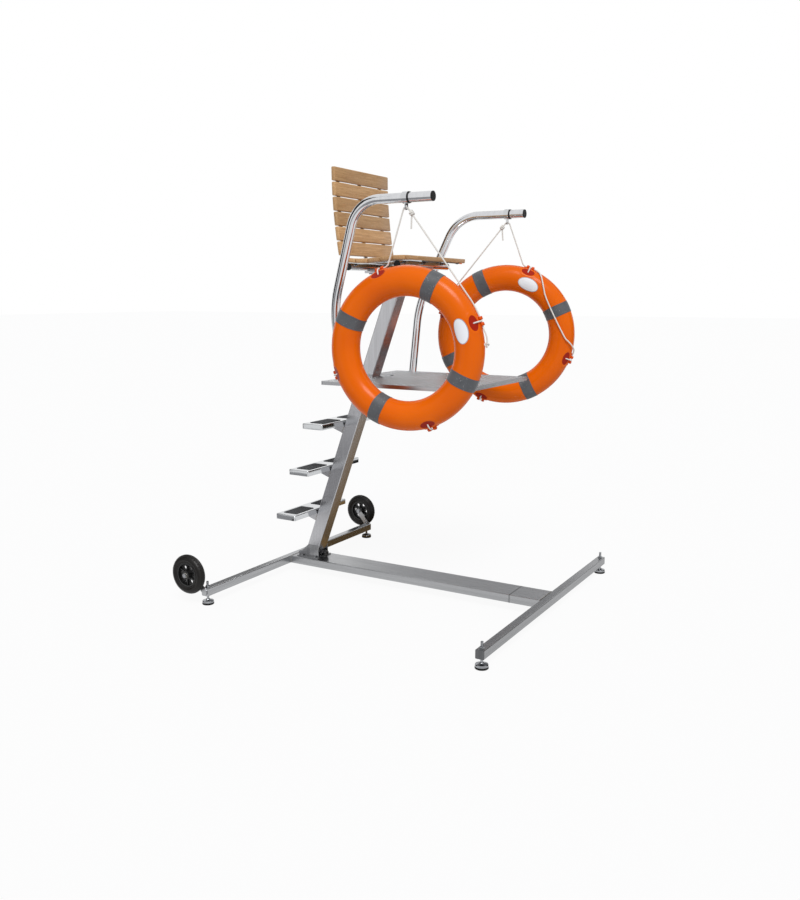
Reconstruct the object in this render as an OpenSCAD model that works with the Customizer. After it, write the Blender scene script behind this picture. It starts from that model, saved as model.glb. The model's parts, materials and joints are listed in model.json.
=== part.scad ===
// Mobile lifeguard chair.
// A stainless steel base stands on four screw feet and has two wheels behind it that
// touch the ground only when the chair is tipped back. A leaning mast is hinged at its
// foot and held by a hand knob. It carries three treads, a platform, two bent arm tubes
// with a life ring hung from each, and a slatted wooden seat.
// +X points forward, +Y to the sitter's left, +Z up. Z = 0 is the floor.

/* [Base] */
// Distance from the rear feet to the front feet
base_length = 1500; // [1200:10:1800]
// Distance between the two front feet
front_track = 1500; // [1300:10:1800]
// Distance between the two rear feet
rear_track = 1448; // [1300:4:1700]
// Length of each cross bar past the middle of its feet
bar_end_run = 18; // [15:1:40]
// Width of the centre beam
beam_w = 158; // [140:2:200]
// Width of each cross bar
bar_w = 40; // [36:1:60]
// Height of the beam and of both cross bars
bar_h = 40; // [30:1:60]
// Wall of the beam and of both cross bars
bar_wall = 2.5; // [2:0.5:4]
// Outer corner radius of the rectangular tubes
tube_corner = 4; // [2.5:0.5:6]
// Height of the base tubes above the floor
ground_gap = 45; // [44:1:80]
// Length of the front stub, from the front cross bar to the seam
stub_len = 155; // [120:5:250]
// Length of the spigot that the stub puts into the beam
spigot_len = 120; // [80:5:200]

/* [Levelling feet] */
// Diameter of each foot
foot_d = 58; // [46:1:80]
// Thickness of the rubber sole
sole_h = 8; // [5:1:12]
// Height of the steel foot plate above its sole, up to the neck
foot_cone_h = 18; // [14:1:20]
// Diameter of the threaded spindle
spindle_d = 12; // [10:1:14]
// Length of spindle that stands above the cross bar
spindle_rise = 30; // [24:1:60]
// Outer diameter of the threaded bush in the cross bar
bush_d = 20; // [18:1:24]
// Width across the flats of the lock nut
nut_af = 19; // [18:1:26]
// Height of the lock nut
nut_h = 8; // [6:1:12]

/* [Wheels] */
// Outer diameter of the tyre
wheel_d = 196; // [160:2:230]
// Width of the tyre
tyre_w = 46; // [36:2:60]
// Diameter of the rim under the tyre
rim_d = 118; // [100:2:130]
// Diameter of the hub
hub_d = 46; // [38:1:54]
// Length of the hub
hub_len = 50; // [48:1:70]
// Outer diameter of the bearing bush
bearing_d = 24; // [20:1:28]
// Diameter of the axle bolt
axle_d = 12; // [10:1:16]
// Distance of the axle behind the rear feet
axle_back = 72; // [60:1:110]
// Height of the axle above the floor
axle_h = 154; // [135:1:180]
// Width of the flat arm that carries the wheel
wheel_arm_w = 30; // [26:1:38]
// Thickness of the flat arm
wheel_arm_t = 5; // [4:1:8]

/* [Mast] */
// Width of the mast tube, across the chair
mast_w = 80; // [70:2:100]
// Depth of the mast tube, along the chair
mast_d = 72; // [60:2:80]
// Wall of the mast tube
mast_wall = 3; // [2:0.5:5]
// Forward lean of the mast from upright, in degrees
lean = 20.25; // [17:0.25:22]
// Distance from the rear feet to the middle of the mast's foot
mast_setback = 126; // [120:1:150]

/* [Mast hinge and latch] */
// Distance from the rear feet to the hinge pin
pin_setback = 62; // [50:1:64]
// Diameter of the hinge pin
pin_d = 12; // [10:1:14]
// Diameter of the hinge knuckles
knuckle_d = 22; // [20:1:26]
// Width of the middle knuckle, on the mast's foot
knuckle_w = 40; // [30:1:50]
// Thickness of the shoe's base plate and front upstand
shoe_t = 6; // [5:1:8]
// Width of the shoe's base plate
shoe_w = 126; // [120:1:136]
// Thickness of the shoe's side cheeks
cheek_t = 5; // [4:1:7]
// Height of the side cheeks above the base plate
cheek_h = 62; // [40:1:90]
// Thickness of the plate under the mast
foot_plate_t = 6; // [5:1:8]
// Diameter of the latch screw
latch_d = 10; // [8:1:10]
// Diameter of the hand knob
knob_d = 38; // [32:1:44]
// Thickness of the hand knob
knob_t = 16; // [12:1:24]

/* [Treads] */
// Height of the first tread above the floor
first_step = 362; // [330:1:400]
// Rise from each tread to the next
step_rise = 247; // [220:1:260]
// Width of each tread, across the chair
tread_w = 480; // [440:5:560]
// Depth of each tread, along the chair
tread_d = 124; // [116:1:150]
// Height of the folded edge of each tread
tread_h = 28; // [22:1:36]
// Sheet thickness of the treads
tread_t = 3; // [2:0.5:4]
// Length of each grip pad
pad_len = 158; // [120:1:180]
// Width of each grip pad
pad_w = 84; // [60:1:96]
// Thickness of each grip pad
pad_t = 2; // [1.5:0.5:4]
// Depth of the gusset under each tread
gusset_h = 38; // [30:1:80]
// Plate thickness of the gussets
gusset_t = 4; // [3:1:6]

/* [Platform] */
// Height of the platform's top face above the floor
platform_h = 1092; // [1060:1:1110]
// Length of the platform, along the chair
platform_len = 772; // [740:2:820]
// Width of the platform, across the chair
platform_w = 724; // [640:2:740]
// Plate thickness of the platform
platform_t = 4; // [3:1:6]
// Height of the platform's folded edge
platform_edge = 18; // [14:1:26]
// Distance from the platform's rear edge to the rear face of the mast
platform_back = 15; // [12:1:40]
// Width of each bearer under the platform
bearer_w = 30; // [26:1:40]
// Height of each bearer
bearer_h = 40; // [30:1:50]
// Length of each bearer
bearer_len = 640; // [560:5:700]

/* [Arm tubes] */
// Outer diameter of the arm tubes
arm_d = 42.4; // [38:0.2:48]
// Wall of the arm tubes
arm_wall = 2; // [1.5:0.5:3]
// Distance from the platform's rear edge to the arm tube's foot
arm_setback = 113; // [100:1:160]
// Clearance from the arm tube's foot to the platform's side edge
arm_edge_gap = 3; // [2:1:30]
// Rise of the arm tube, measured along its slope
arm_rise = 832; // [800:1:900]
// Outward slope of the arm tubes, in degrees
splay = 10.5; // [9:0.25:12]
// Length of the straight leg
arm_leg = 262; // [200:1:300]
// Angle of the lower bend, in degrees
arm_bend = 21.5; // [18:0.5:25]
// Radius of the lower bend
arm_bend_r = 500; // [400:5:600]
// Radius of the upper bend
arm_top_r = 170; // [120:1:200]
// Forward reach of the arm tube, from its foot to its tip
arm_reach = 566; // [540:1:640]
// Distance from the left tube's tip to the middle of its rope collar
collar_back_left = 93; // [80:1:130]
// Distance from the right tube's tip to the middle of its rope collar
collar_back_right = 128; // [80:1:130]
// Width of the rope collar
collar_w = 26; // [20:1:40]
// Thickness of the rope collar
collar_t = 4; // [3:0.5:6]
// Drop from the collar to the middle of its eye
eye_drop = 18; // [16:1:30]

/* [Seat] */
// Width of the seat and of the back
seat_w = 488; // [420:5:560]
// Height of the seat's rear edge above the floor
seat_h = 1678; // [1674:1:1700]
// Height of the seat's rear edge above the top of the mast
seat_rise = 70; // [66:1:90]
// Depth of the seat
seat_len = 410; // [380:2:460]
// Distance from the top of the mast back to the seat's rear edge
seat_setback = 183; // [170:1:200]
// Depth of the hollow, and height of the swell in front of it
seat_wave = 7; // [4:1:12]
// Number of slats in the seat, and in the back
slat_count = 6; // [5:1:7]
// Thickness of the slats
slat_t = 20; // [16:1:26]
// Gap between the slats
slat_gap = 6; // [4:1:10]
// Height of the back
back_h = 421; // [360:1:500]
// Distance that the back leans behind its foot
back_set = 38; // [20:1:60]
// Width of each bent strap under the slats
strap_w = 30; // [24:1:40]
// Thickness of each bent strap
strap_t = 5; // [4:1:8]
// Distance of the outer straps from the middle
strap_spread = 190; // [150:1:195]
// Radius of the strap's bend between seat and back
strap_r = 30; // [28:1:50]
// Diameter of the cross tubes under the seat
seat_tube_d = 34; // [30:1:38]
// Distance from the seat's rear edge to the rear cross tube
rear_tube_in = 29; // [26:1:50]
// Distance from the seat's rear edge to the front cross tube
front_tube_in = 300; // [260:1:320]
// Thickness of the plate on top of the mast
head_t = 8; // [6:1:10]
// Width of the plate on top of the mast
head_w = 140; // [120:2:180]

/* [Life rings] */
// Outer diameter of each life ring
ring_d = 720; // [715:1:722]
// Inner diameter of each life ring
ring_hole_d = 456; // [440:2:480]
// Thickness of each life ring
ring_t = 116; // [104:2:120]
// Wall of each ring's hollow shell
ring_wall = 4; // [3:0.5:8]
// Width of each reflective band, on the ring's outer edge
band_w = 62; // [40:1:90]
// Thickness of each reflective band
band_t = 1.2; // [1:0.2:2]
// Length of each rope lug, round the ring's edge
lug_len = 44; // [36:1:60]
// Width of each rope lug, across the ring's edge
lug_w = 28; // [22:1:36]
// Height of each rope lug, over the ring's edge
lug_rise = 15; // [13:1:20]
// Diameter of the rope
rope_d = 7; // [6:0.5:7.5]

/* [Hidden] */
$fn = 64;

// Radial clearance of a shaft in its hole
fit = 0.05;
// Clearance between pieces that move past each other
run_gap = 0.5;
// How far a cutting solid runs past what it cuts
over = 2;
// Depth by which welded pieces run into each other
weld = 1;

// The base: its rear feet stand at rear_x and its front feet at front_x, with the
// middle of the whole chair at x = 0
rear_x = -(base_length + foot_d / 2 - axle_back - wheel_d / 2) / 2;
front_x = rear_x + base_length;
bar_top = ground_gap + bar_h;
bar_mid = ground_gap + bar_h / 2;
front_bar_len = front_track + 2 * bar_end_run;
rear_bar_len = rear_track + 2 * bar_end_run;
seam_x = front_x - bar_w / 2 - stub_len;
beam_x0 = rear_x + bar_w / 2;
cap_t = 3;
cap_insert = 16;
// Corners of the foot positions: name part, x, y
foot_front_left = [front_x, front_track / 2];
foot_front_right = [front_x, -front_track / 2];
foot_rear_left = [rear_x, rear_track / 2];
foot_rear_right = [rear_x, -rear_track / 2];
foot_places = [foot_front_left, foot_front_right, foot_rear_left, foot_rear_right];
// The steel plate of a foot: a short wall, a shoulder and a dome that rises to the neck
neck_d = spindle_d * 1.6;
foot_lip = 1.5;
foot_r = foot_d / 2 - foot_lip / 2;
foot_wall_share = 0.45;
foot_shoulder_share = 0.62;
foot_dome_share = 0.86;

// The wheels stand outside the rear bar's ends, on flat arms
axle_x = rear_x - axle_back;
wheel_arm_y = rear_bar_len / 2 + cap_t;
wheel_y = wheel_arm_y + wheel_arm_t + run_gap + hub_len / 2;
axle_head_t = axle_d * 0.6;
axle_head_d = axle_d * 1.8;
wheel_arm_len = sqrt(pow(axle_back, 2) + pow(axle_h - bar_mid, 2));
wheel_arm_tilt = atan2(axle_h - bar_mid, -axle_back);
rim_web_t = 10;
rim_hole_count = 6;
rim_hole_d = 18;
rim_lip_in = 5;
rim_lip_w = tyre_w - 2 * rim_lip_in;
rim_wall = 6;

// The shoe bolted to the beam, and the hinge behind the mast
shoe_top = bar_top + shoe_t;
pin_x = rear_x + pin_setback;
pin_z = shoe_top + knuckle_d / 2 + run_gap;
foot_z0 = shoe_top + run_gap;
foot_z1 = foot_z0 + foot_plate_t;
mast_x = rear_x + mast_setback;
mast_half = mast_d / 2 / cos(lean);
mast_front_x = mast_x + mast_half;
// The latch block stands in front of the mast's foot, and the upstand in front of it
latch_block_h = 16;
latch_block_w = 40;
latch_block_d = 17;
latch_block_x1 = mast_front_x + latch_block_d;
latch_z = foot_z1 + latch_block_h / 2;
latch_gap = 1;
upstand_x0 = latch_block_x1 + latch_gap;
upstand_x1 = upstand_x0 + shoe_t;
upstand_w = 60;
upstand_z1 = latch_z + latch_d * 0.6;
knob_x0 = upstand_x1 + latch_gap;
knob_collar_t = 4;
knob_lobes = 6;
shoe_x0 = pin_x - knuckle_d / 2;
shoe_bolt_d = 8;
shoe_bolt_in = 8;
shoe_bolt_y = shoe_w / 2 - shoe_bolt_in;
shoe_bolt_xs = [mast_x - mast_half - shoe_bolt_d, mast_front_x];

// Places along the mast
mast_top = seat_h - seat_rise;
function mast_mid_x(z) = mast_x + (z - foot_z1) * tan(lean);
function mast_rear_x(z) = mast_mid_x(z) - mast_half;
head_z1 = mast_top + head_t;
head_x = mast_mid_x(mast_top);

// Treads: the folded front edge meets the rear face of the mast
function tread_top(i) = first_step + i * step_rise;
function tread_x1(i) = mast_rear_x(tread_top(i) - tread_h) - run_gap;
tread_corner = 8;
pad_y = tread_w / 4;
pad_corner = 5;

// Platform
platform_x0 = mast_rear_x(platform_h) - platform_back;
platform_z0 = platform_h - platform_t;
platform_corner = 10;
bearer_in = 2;
bearer_x0 = platform_x0 + platform_t + bearer_in;
bearer_bolt_in = 60;
bolt_d = 10;
bolt_head_d = 18;
bolt_head_t = 5;

// Arm tubes: each lies in one plane, which slopes outward from the foot
arm_foot_x = platform_x0 + arm_setback;
arm_foot_y = platform_w / 2 - arm_d / 2 - arm_edge_gap;
arm_top_angle = 90 - arm_bend;
arm_mid_len = (arm_rise - arm_leg - arm_bend_r * sin(arm_bend)
    - arm_top_r * (1 - sin(arm_bend))) / cos(arm_bend);
arm_bends_reach = arm_bend_r * (1 - cos(arm_bend)) + arm_mid_len * sin(arm_bend)
    + arm_top_r * cos(arm_bend);
arm_end_len = arm_reach - arm_bends_reach;
arm_top_y = arm_foot_y + arm_rise * sin(splay);
arm_top_z = platform_h + arm_rise * cos(splay);
arm_tip_x = arm_foot_x + arm_reach;
arm_foot_disc_t = 8;
arm_bolt_d = 12;
plug_rim = 4;
stop_w = 6;
stop_t = 3;
plug_insert = 20;
collar_x_left = arm_tip_x - collar_back_left;
collar_x_right = arm_tip_x - collar_back_right;
collar_fit = 0.1;
// Clearance under the rope in the eye
rope_rest = 0.8;
eye_z = arm_top_z - arm_d / 2 - eye_drop;
eye_d = 14.4;
eye_bevel_w = 1.2;
eye_rim_d = 25;
eye_plate_t = 5;
rope_top_z = eye_z - eye_d / 2 + rope_d / 2 + rope_rest;

// Seat: straps follow the seat and back, and each slat lies on one straight of them
seat_x0 = head_x - seat_setback;
strap_z0 = seat_h - slat_t - strap_t / 2;
function seat_pt(i) = [seat_x0 + seat_len * i / slat_count,
    strap_z0 - seat_wave * sin(360 * i / slat_count)];
function back_pt(i) = [seat_x0 - strap_r
    - back_set * (2 * i / slat_count - pow(i / slat_count, 2)),
    strap_z0 + strap_r + back_h * i / slat_count];
strap_bend_step = 15;
strap_bend = [for (a = [strap_bend_step:strap_bend_step:90 - strap_bend_step])
    [seat_x0 - strap_r * sin(a), strap_z0 + strap_r * (1 - cos(a))]];
strap_path = concat([for (i = [slat_count:-1:0]) seat_pt(i)], strap_bend,
    [for (i = [0:slat_count]) back_pt(i)]);
// Height of the straps' middle line over the place x
function strap_at(x) = let (u = (x - seat_x0) / seat_len * slat_count, i = floor(u))
    seat_pt(i)[1] + (u - i) * (seat_pt(i + 1)[1] - seat_pt(i)[1]);
strap_ys = [-strap_spread, 0, strap_spread];
slat_corner = 4;
slat_screw_d = 6;
slat_screw_head_d = 12;
slat_screw_head_t = 2.5;
// The screws stand a little off the middle of each slat, clear of the cross tubes, and
// go this share of the way through it
slat_screw_shift = 13;
slat_screw_share = 0.65;
slat_screw_tip = strap_t / 2 + slat_screw_share * slat_t;
// Each slat lies on its straps with a hair of air, as planed wood does
slat_rest = 0.06;
seat_tube_wall = 2;
rear_tube_x = seat_x0 + rear_tube_in;
front_tube_x = seat_x0 + front_tube_in;
function seat_tube_z(x) = strap_at(x) - strap_t / 2 - seat_tube_d / 2 + weld;
saddle_len = 40;
saddle_bolt_in = 25;
saddle_bolt_y = head_w / 2 - saddle_bolt_in;

// Life rings: each hangs in its own upright plane, turned a little about the eye
right_turn = 7;
left_turn = 16;
right_drop = 600;
left_drop = 573;
ring_mid_r = (ring_d + ring_hole_d) / 4;
ring_round_r = ring_t / 2;
ring_flat = (ring_d - ring_hole_d) / 4 - ring_round_r;
rope_stand = 1.5;
rope_run_r = ring_d / 2 + rope_d / 2 + rope_stand;
rope_bore_gap = 0.7;
rope_bore_d = rope_d + 2 * rope_bore_gap;
lug_angle = lug_len / rope_run_r * 180 / PI;
lug_base_drop = 8;
band_angle = band_w / (ring_d / 2) * 180 / PI;
band_gap = 0.1;
ring_quarters = [0, 90, 180, 270];
lug_start = 20;
band_turn_angle = 45;
band_start = lug_start + band_turn_angle;
rope_sides = 8;
// Routes of the ropes, from the eye: forward along the ring's plane, out of it, up.
// The right ring's rope starts in one lug, goes up through the eye and down to the next
// lug, and its loose end hangs below that. The left ring's rope is first drawn tight
// across the ring's inner face, from lug to lug, and then goes up to the eye and down.
rope_right = [[-143, 0, -264], [-125, 0, -257], [-107, 0, -251], [-99, 0, -248],
    [-92, 0, -244], [-87, 0, -238], [-83, 0, -230], [-49, 0, -122], [-14, 0, -11],
    [-10, 0, -5], [-5, 0, -1], [0, 0, 0], [5, 0, -1], [10, 0, -5], [16, 0, -12],
    [100, 0, -124], [200, 0, -258], [285, 0, -372], [292, 0, -381], [306, 0, -401], [319, 0, -423],
    [331, 0, -446], [340, 0, -467], [345, 0, -480], [349, 0, -492], [355, 0, -508],
    [363, 0, -524], [369, 0, -541], [371, 0, -558], [369, 0, -574]];
rope_left = [[-346, 0, -688], [-354, 0, -669], [-360, -16, -650], [-357, -34, -634],
    [-347, -48, -617], [-332, -58, -600], [-312, -63.5, -576], [-258, -64, -474],
    [-214, -64, -379], [-201, -61.5, -333], [-193, -55, -299], [-186, -43, -275],
    [-174, -23, -256], [-151, 0, -240],
    [-134, 0, -233], [-107, 0, -224], [-99, 0, -221],
    [-92, 0, -217], [-87, 0, -211], [-83, 0, -203], [-49, 0, -107], [-14, 0, -11],
    [-10, 0, -5], [-5, 0, -1], [0, 0, 0], [5, 0, -1], [10, 0, -5], [16, 0, -12],
    [100, 0, -116], [200, 0, -240], [276, 0, -333], [284, 0, -343], [299, 0, -364], [313, 0, -385],
    [325, 0, -407], [336, 0, -431]];
// Under the eye a hitch is wound round the front leg, and its loose end hangs down
leg_start = [16, 0, -12];
leg_step = [84, 0, -108];
hitch_turns = 2.5;
hitch_steps = 10;
hitch_pitch = rope_d * 1.12;
hitch_in = 6;
tail_len = 52;
function hitch_at(turn) = let (along = leg_step / norm(leg_step), side = cross(along, [0, 1, 0]))
    leg_start + along * (hitch_in + turn * hitch_pitch)
    + hitch_pitch * (cos(360 * turn) * side + sin(360 * turn) * [0, 1, 0]);
hitch_rope = concat([for (k = [0:hitch_turns * hitch_steps]) hitch_at(k / hitch_steps)],
    [for (k = [1:4]) hitch_at(hitch_turns) + [-k, rope_d * k / 6, -tail_len * k / 4]]);

// Shapes that several pieces share

// Rectangle with rounded corners, in the XY plane
module rounded_rect(size, r) {
    square([size[0] - 2 * r, size[1]], center = true);
    square([size[0], size[1] - 2 * r], center = true);
    for (sx = [-1, 1], sy = [-1, 1])
        translate([sx * (size[0] / 2 - r), sy * (size[1] / 2 - r)]) circle(r = r);
}

// Rectangular tube along +Z from z = 0; size is its section along X and Y
module box_tube(length, size, wall) {
    linear_extrude(height = length) difference() {
        rounded_rect(size, tube_corner);
        square([size[0] - 2 * wall, size[1] - 2 * wall], center = true);
    }
}

// Rectangular tube along +X from x = 0; size is its section along Y and Z
module box_tube_x(length, size, wall) {
    rotate([90, 0, 90]) box_tube(length, size, wall);
}

// Round tube or solid bar along +Z from z = 0
module round_tube(length, d, wall) {
    difference() {
        cylinder(h = length, d = d);
        translate([0, 0, -over]) cylinder(h = length + 2 * over, d = d - 2 * wall);
    }
}

// Cylinder along Y, centred on y
module rod_y(d, length, y = 0) {
    translate([0, y, 0]) rotate([90, 0, 0]) cylinder(h = length, d = d, center = true);
}

// Cylinder along +X from x = 0
module rod_x(d, length) {
    rotate([0, 90, 0]) cylinder(h = length, d = d);
}

// Mast's own place: its axis goes up along +Z from the top of its foot plate
module in_mast() {
    translate([mast_x, 0, foot_z1]) rotate([0, lean, 0]) children();
}

// Solid block with the outer size of the mast, larger by grow and, sideways, by grow_y
module mast_block(grow, grow_y) {
    in_mast() translate([-mast_d / 2 - grow, -mast_w / 2 - grow_y, -mast_top / 2])
        cube([mast_d + 2 * grow, mast_w + 2 * grow_y, 2 * mast_top]);
}

// Left and right copies of a piece drawn at +Y
module both_sides() {
    children();
    mirror([0, 1, 0]) children();
}

// Base

// Holes for the foot bushes, through both cross bars
module bush_holes() {
    for (p = foot_places) translate([p[0], p[1], ground_gap - over])
        cylinder(h = bar_h + 2 * over, d = bush_d + 2 * fit);
}

module centre_beam() {
    color("silver") difference() {
        translate([beam_x0, 0, bar_mid])
            box_tube_x(seam_x - beam_x0, [beam_w, bar_h], bar_wall);
        for (x = shoe_bolt_xs, s = [-1, 1])
            translate([x, s * shoe_bolt_y, bar_mid]) cylinder(h = bar_h, d = shoe_bolt_d + 2 * fit);
    }
}

// Wide stub welded to the front bar, with a spigot that goes into the beam
module front_stub() {
    color("silver") {
        translate([seam_x, 0, bar_mid]) box_tube_x(stub_len, [beam_w, bar_h], bar_wall);
        translate([seam_x - spigot_len, 0, bar_mid]) rotate([90, 0, 90])
            linear_extrude(height = spigot_len + stub_len / 2) difference() {
                square([beam_w - 2 * bar_wall - 2 * fit, bar_h - 2 * bar_wall - 2 * fit],
                    center = true);
                square([beam_w - 4 * bar_wall - 2 * fit, bar_h - 4 * bar_wall - 2 * fit],
                    center = true);
            }
        translate([seam_x, -beam_w / 2 + bar_wall / 2, ground_gap + bar_wall / 2])
            cube([bar_wall, beam_w - bar_wall, bar_wall]);
        translate([seam_x, -beam_w / 2 + bar_wall / 2, bar_top - 1.5 * bar_wall])
            cube([bar_wall, beam_w - bar_wall, bar_wall]);
    }
}

module cross_bar(x, length) {
    color("silver") difference() {
        translate([x, -length / 2, bar_mid]) rotate([-90, 0, 0])
            box_tube(length, [bar_w, bar_h], bar_wall);
        bush_holes();
    }
}

// Plug for the end of a cross bar, drawn for the end at +Y
module bar_plug(x, length) {
    translate([x, length / 2, bar_mid]) {
        rotate([-90, 0, 0]) linear_extrude(height = cap_t) rounded_rect([bar_w, bar_h], tube_corner);
        translate([0, -(bar_end_run - bush_d / 2 - fit) / 4, 0])
            cube([bar_w - 2 * bar_wall - 2 * fit, (bar_end_run - bush_d / 2 - fit) / 2,
                bar_h - 2 * bar_wall - 2 * fit], center = true);
    }
}

module bar_end_caps() {
    color("silver") both_sides() bar_plug(front_x, front_bar_len);
}

module foot_bushes() {
    color("gainsboro") for (p = foot_places) translate([p[0], p[1], ground_gap])
        round_tube(bar_h, bush_d, (bush_d - spindle_d) / 2 - fit);
}

module lock_nuts() {
    color("gainsboro") for (p = foot_places) translate([p[0], p[1], bar_top]) difference() {
        cylinder(h = nut_h, d = nut_af / cos(30), $fn = 6);
        translate([0, 0, -over]) cylinder(h = nut_h + 2 * over, d = spindle_d + 2 * fit);
    }
}

// Levelling foot: a threaded spindle on a domed steel plate, over a rubber sole
module foot_spindle(p) {
    color("lightgray") translate([p[0], p[1], 0]) {
        rotate_extrude() polygon([[0, sole_h], [foot_r - foot_lip, sole_h], [foot_r, sole_h + foot_lip],
            [foot_r, sole_h + foot_wall_share * foot_cone_h],
            [foot_r - foot_lip, sole_h + foot_shoulder_share * foot_cone_h],
            [neck_d / 2 + foot_lip, sole_h + foot_dome_share * foot_cone_h],
            [neck_d / 2, sole_h + foot_cone_h], [0, sole_h + foot_cone_h]]);
        translate([0, 0, sole_h + weld])
            cylinder(h = bar_top + spindle_rise - sole_h - weld, d = spindle_d);
    }
}

module foot_sole(p) {
    color("dimgray") translate([p[0], p[1], 0]) rotate_extrude()
        polygon([[0, 0], [foot_d / 2 - foot_lip, 0], [foot_d / 2, foot_lip],
            [foot_d / 2, sole_h], [0, sole_h]]);
}

// Flat arm from the rear bar's end to the wheel, with the bar's end plug welded to it
module wheel_arm() {
    color("silver") {
        bar_plug(rear_x, rear_bar_len);
        difference() {
            translate([rear_x, wheel_arm_y, bar_mid]) rotate([0, -wheel_arm_tilt, 0]) {
                translate([0, 0, -wheel_arm_w / 2]) cube([wheel_arm_len, wheel_arm_t, wheel_arm_w]);
                translate([0, wheel_arm_t / 2, 0]) rod_y(wheel_arm_w, wheel_arm_t);
                translate([wheel_arm_len, wheel_arm_t / 2, 0]) rod_y(wheel_arm_w, wheel_arm_t);
            }
            translate([axle_x, wheel_arm_y, axle_h]) rod_y(axle_d + 2 * fit, 4 * wheel_arm_t);
        }
    }
}

module wheel_axle() {
    hub_out = wheel_y + hub_len / 2 + run_gap;
    translate([axle_x, 0, axle_h]) {
        translate([0, wheel_arm_y - axle_head_t / 2, 0]) rod_y(axle_head_d, axle_head_t);
        translate([0, (wheel_arm_y - axle_head_t + hub_out + axle_head_t) / 2, 0])
            rod_y(axle_d, hub_out - wheel_arm_y + 2 * axle_head_t);
        translate([0, hub_out + axle_head_t / 2, 0]) rod_y(axle_head_d, axle_head_t);
    }
}

module wheel_axles() {
    color("gainsboro") both_sides() wheel_axle();
}

// Wheel pieces, drawn for the left wheel
module on_wheel() {
    translate([axle_x, wheel_y, axle_h]) rotate([90, 0, 0]) children();
}

module tyre() {
    color("#202020") on_wheel() rotate_extrude() difference() {
        union() {
            translate([wheel_d / 2 - tyre_w / 2, 0]) circle(d = tyre_w);
            translate([rim_d / 2 + fit, -rim_lip_w / 2])
                square([wheel_d / 2 - tyre_w / 2 - rim_d / 2, rim_lip_w]);
        }
        translate([0, -tyre_w]) square([rim_d / 2 + fit, 2 * tyre_w]);
    }
}

module rim() {
    color("#303030") on_wheel() difference() {
        rotate_extrude() {
            translate([bearing_d / 2 + fit, -hub_len / 2])
                square([(hub_d - bearing_d) / 2 - fit, hub_len]);
            translate([hub_d / 2 - weld, -rim_web_t / 2])
                square([(rim_d - hub_d) / 2 - rim_wall + 2 * weld, rim_web_t]);
            translate([rim_d / 2 - rim_wall, -rim_lip_w / 2]) square([rim_wall, rim_lip_w]);
        }
        for (i = [0:rim_hole_count - 1]) rotate([0, 0, i * 360 / rim_hole_count])
            translate([(hub_d + rim_d - 2 * rim_wall) / 4, 0, -rim_web_t])
                cylinder(h = 2 * rim_web_t, d = rim_hole_d);
    }
}

module bearing() {
    color("ivory") on_wheel() translate([0, 0, -hub_len / 2])
        round_tube(hub_len, bearing_d, (bearing_d - axle_d) / 2 - fit);
}

// Shoe on the beam: base plate, side cheeks, outer hinge knuckles and a front upstand
module mast_shoe() {
    cheek_y = mast_w / 2 + run_gap;
    knuckle_y = knuckle_w / 2 + run_gap;
    color("dimgray") difference() {
        union() {
            translate([shoe_x0, -shoe_w / 2, bar_top]) cube([upstand_x1 - shoe_x0, shoe_w, shoe_t]);
            for (s = [-1, 1]) {
                translate([pin_x, 0, pin_z])
                    rod_y(knuckle_d, cheek_y + cheek_t - knuckle_y,
                        s * (cheek_y + cheek_t + knuckle_y) / 2);
                translate([0, s * (cheek_y + cheek_t / 2) + cheek_t / 2, 0]) rotate([90, 0, 0])
                    linear_extrude(height = cheek_t) mast_cheek();
                translate([pin_x - knuckle_d / 2, s > 0 ? knuckle_y : -cheek_y - cheek_t, bar_top])
                    cube([knuckle_d, cheek_y + cheek_t - knuckle_y, pin_z - bar_top]);
            }
            translate([upstand_x0, -upstand_w / 2, bar_top])
                cube([shoe_t, upstand_w, upstand_z1 - bar_top]);
        }
        translate([pin_x, 0, pin_z]) rod_y(pin_d + 2 * fit, 2 * shoe_w);
        translate([upstand_x0 - over, 0, latch_z]) {
            rod_x(latch_d + 2 * run_gap, shoe_t + 2 * over);
            translate([0, -latch_d / 2 - run_gap, 0])
                cube([shoe_t + 2 * over, latch_d + 2 * run_gap, bar_top]);
        }
        for (x = shoe_bolt_xs, s = [-1, 1]) translate([x, s * shoe_bolt_y, bar_top - over])
            cylinder(h = shoe_t + 2 * over, d = shoe_bolt_d + 2 * fit);
    }
}

// Outline of a side cheek, in the XZ plane
module mast_cheek() {
    top_z = shoe_top + cheek_h;
    polygon([[pin_x, bar_top], [upstand_x1 - shoe_t, bar_top],
        [upstand_x1 - shoe_t, shoe_top + cheek_h / 4],
        [mast_mid_x(top_z) + mast_half - cheek_t, top_z],
        [mast_mid_x(top_z) - mast_half + cheek_t, top_z],
        [pin_x, pin_z + knuckle_d / 4]]);
}

module hinge_pin() {
    color("gainsboro") translate([pin_x, 0, pin_z])
        rod_y(pin_d, mast_w + 2 * run_gap + 2 * cheek_t);
}

module shoe_bolts() {
    color("gainsboro") for (x = shoe_bolt_xs, s = [-1, 1]) translate([x, s * shoe_bolt_y, 0]) {
        translate([0, 0, shoe_top]) cylinder(h = shoe_bolt_d / 2, d = shoe_bolt_d * 1.6);
        translate([0, 0, bar_mid]) cylinder(h = shoe_top - bar_mid + over, d = shoe_bolt_d);
    }
}

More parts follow.
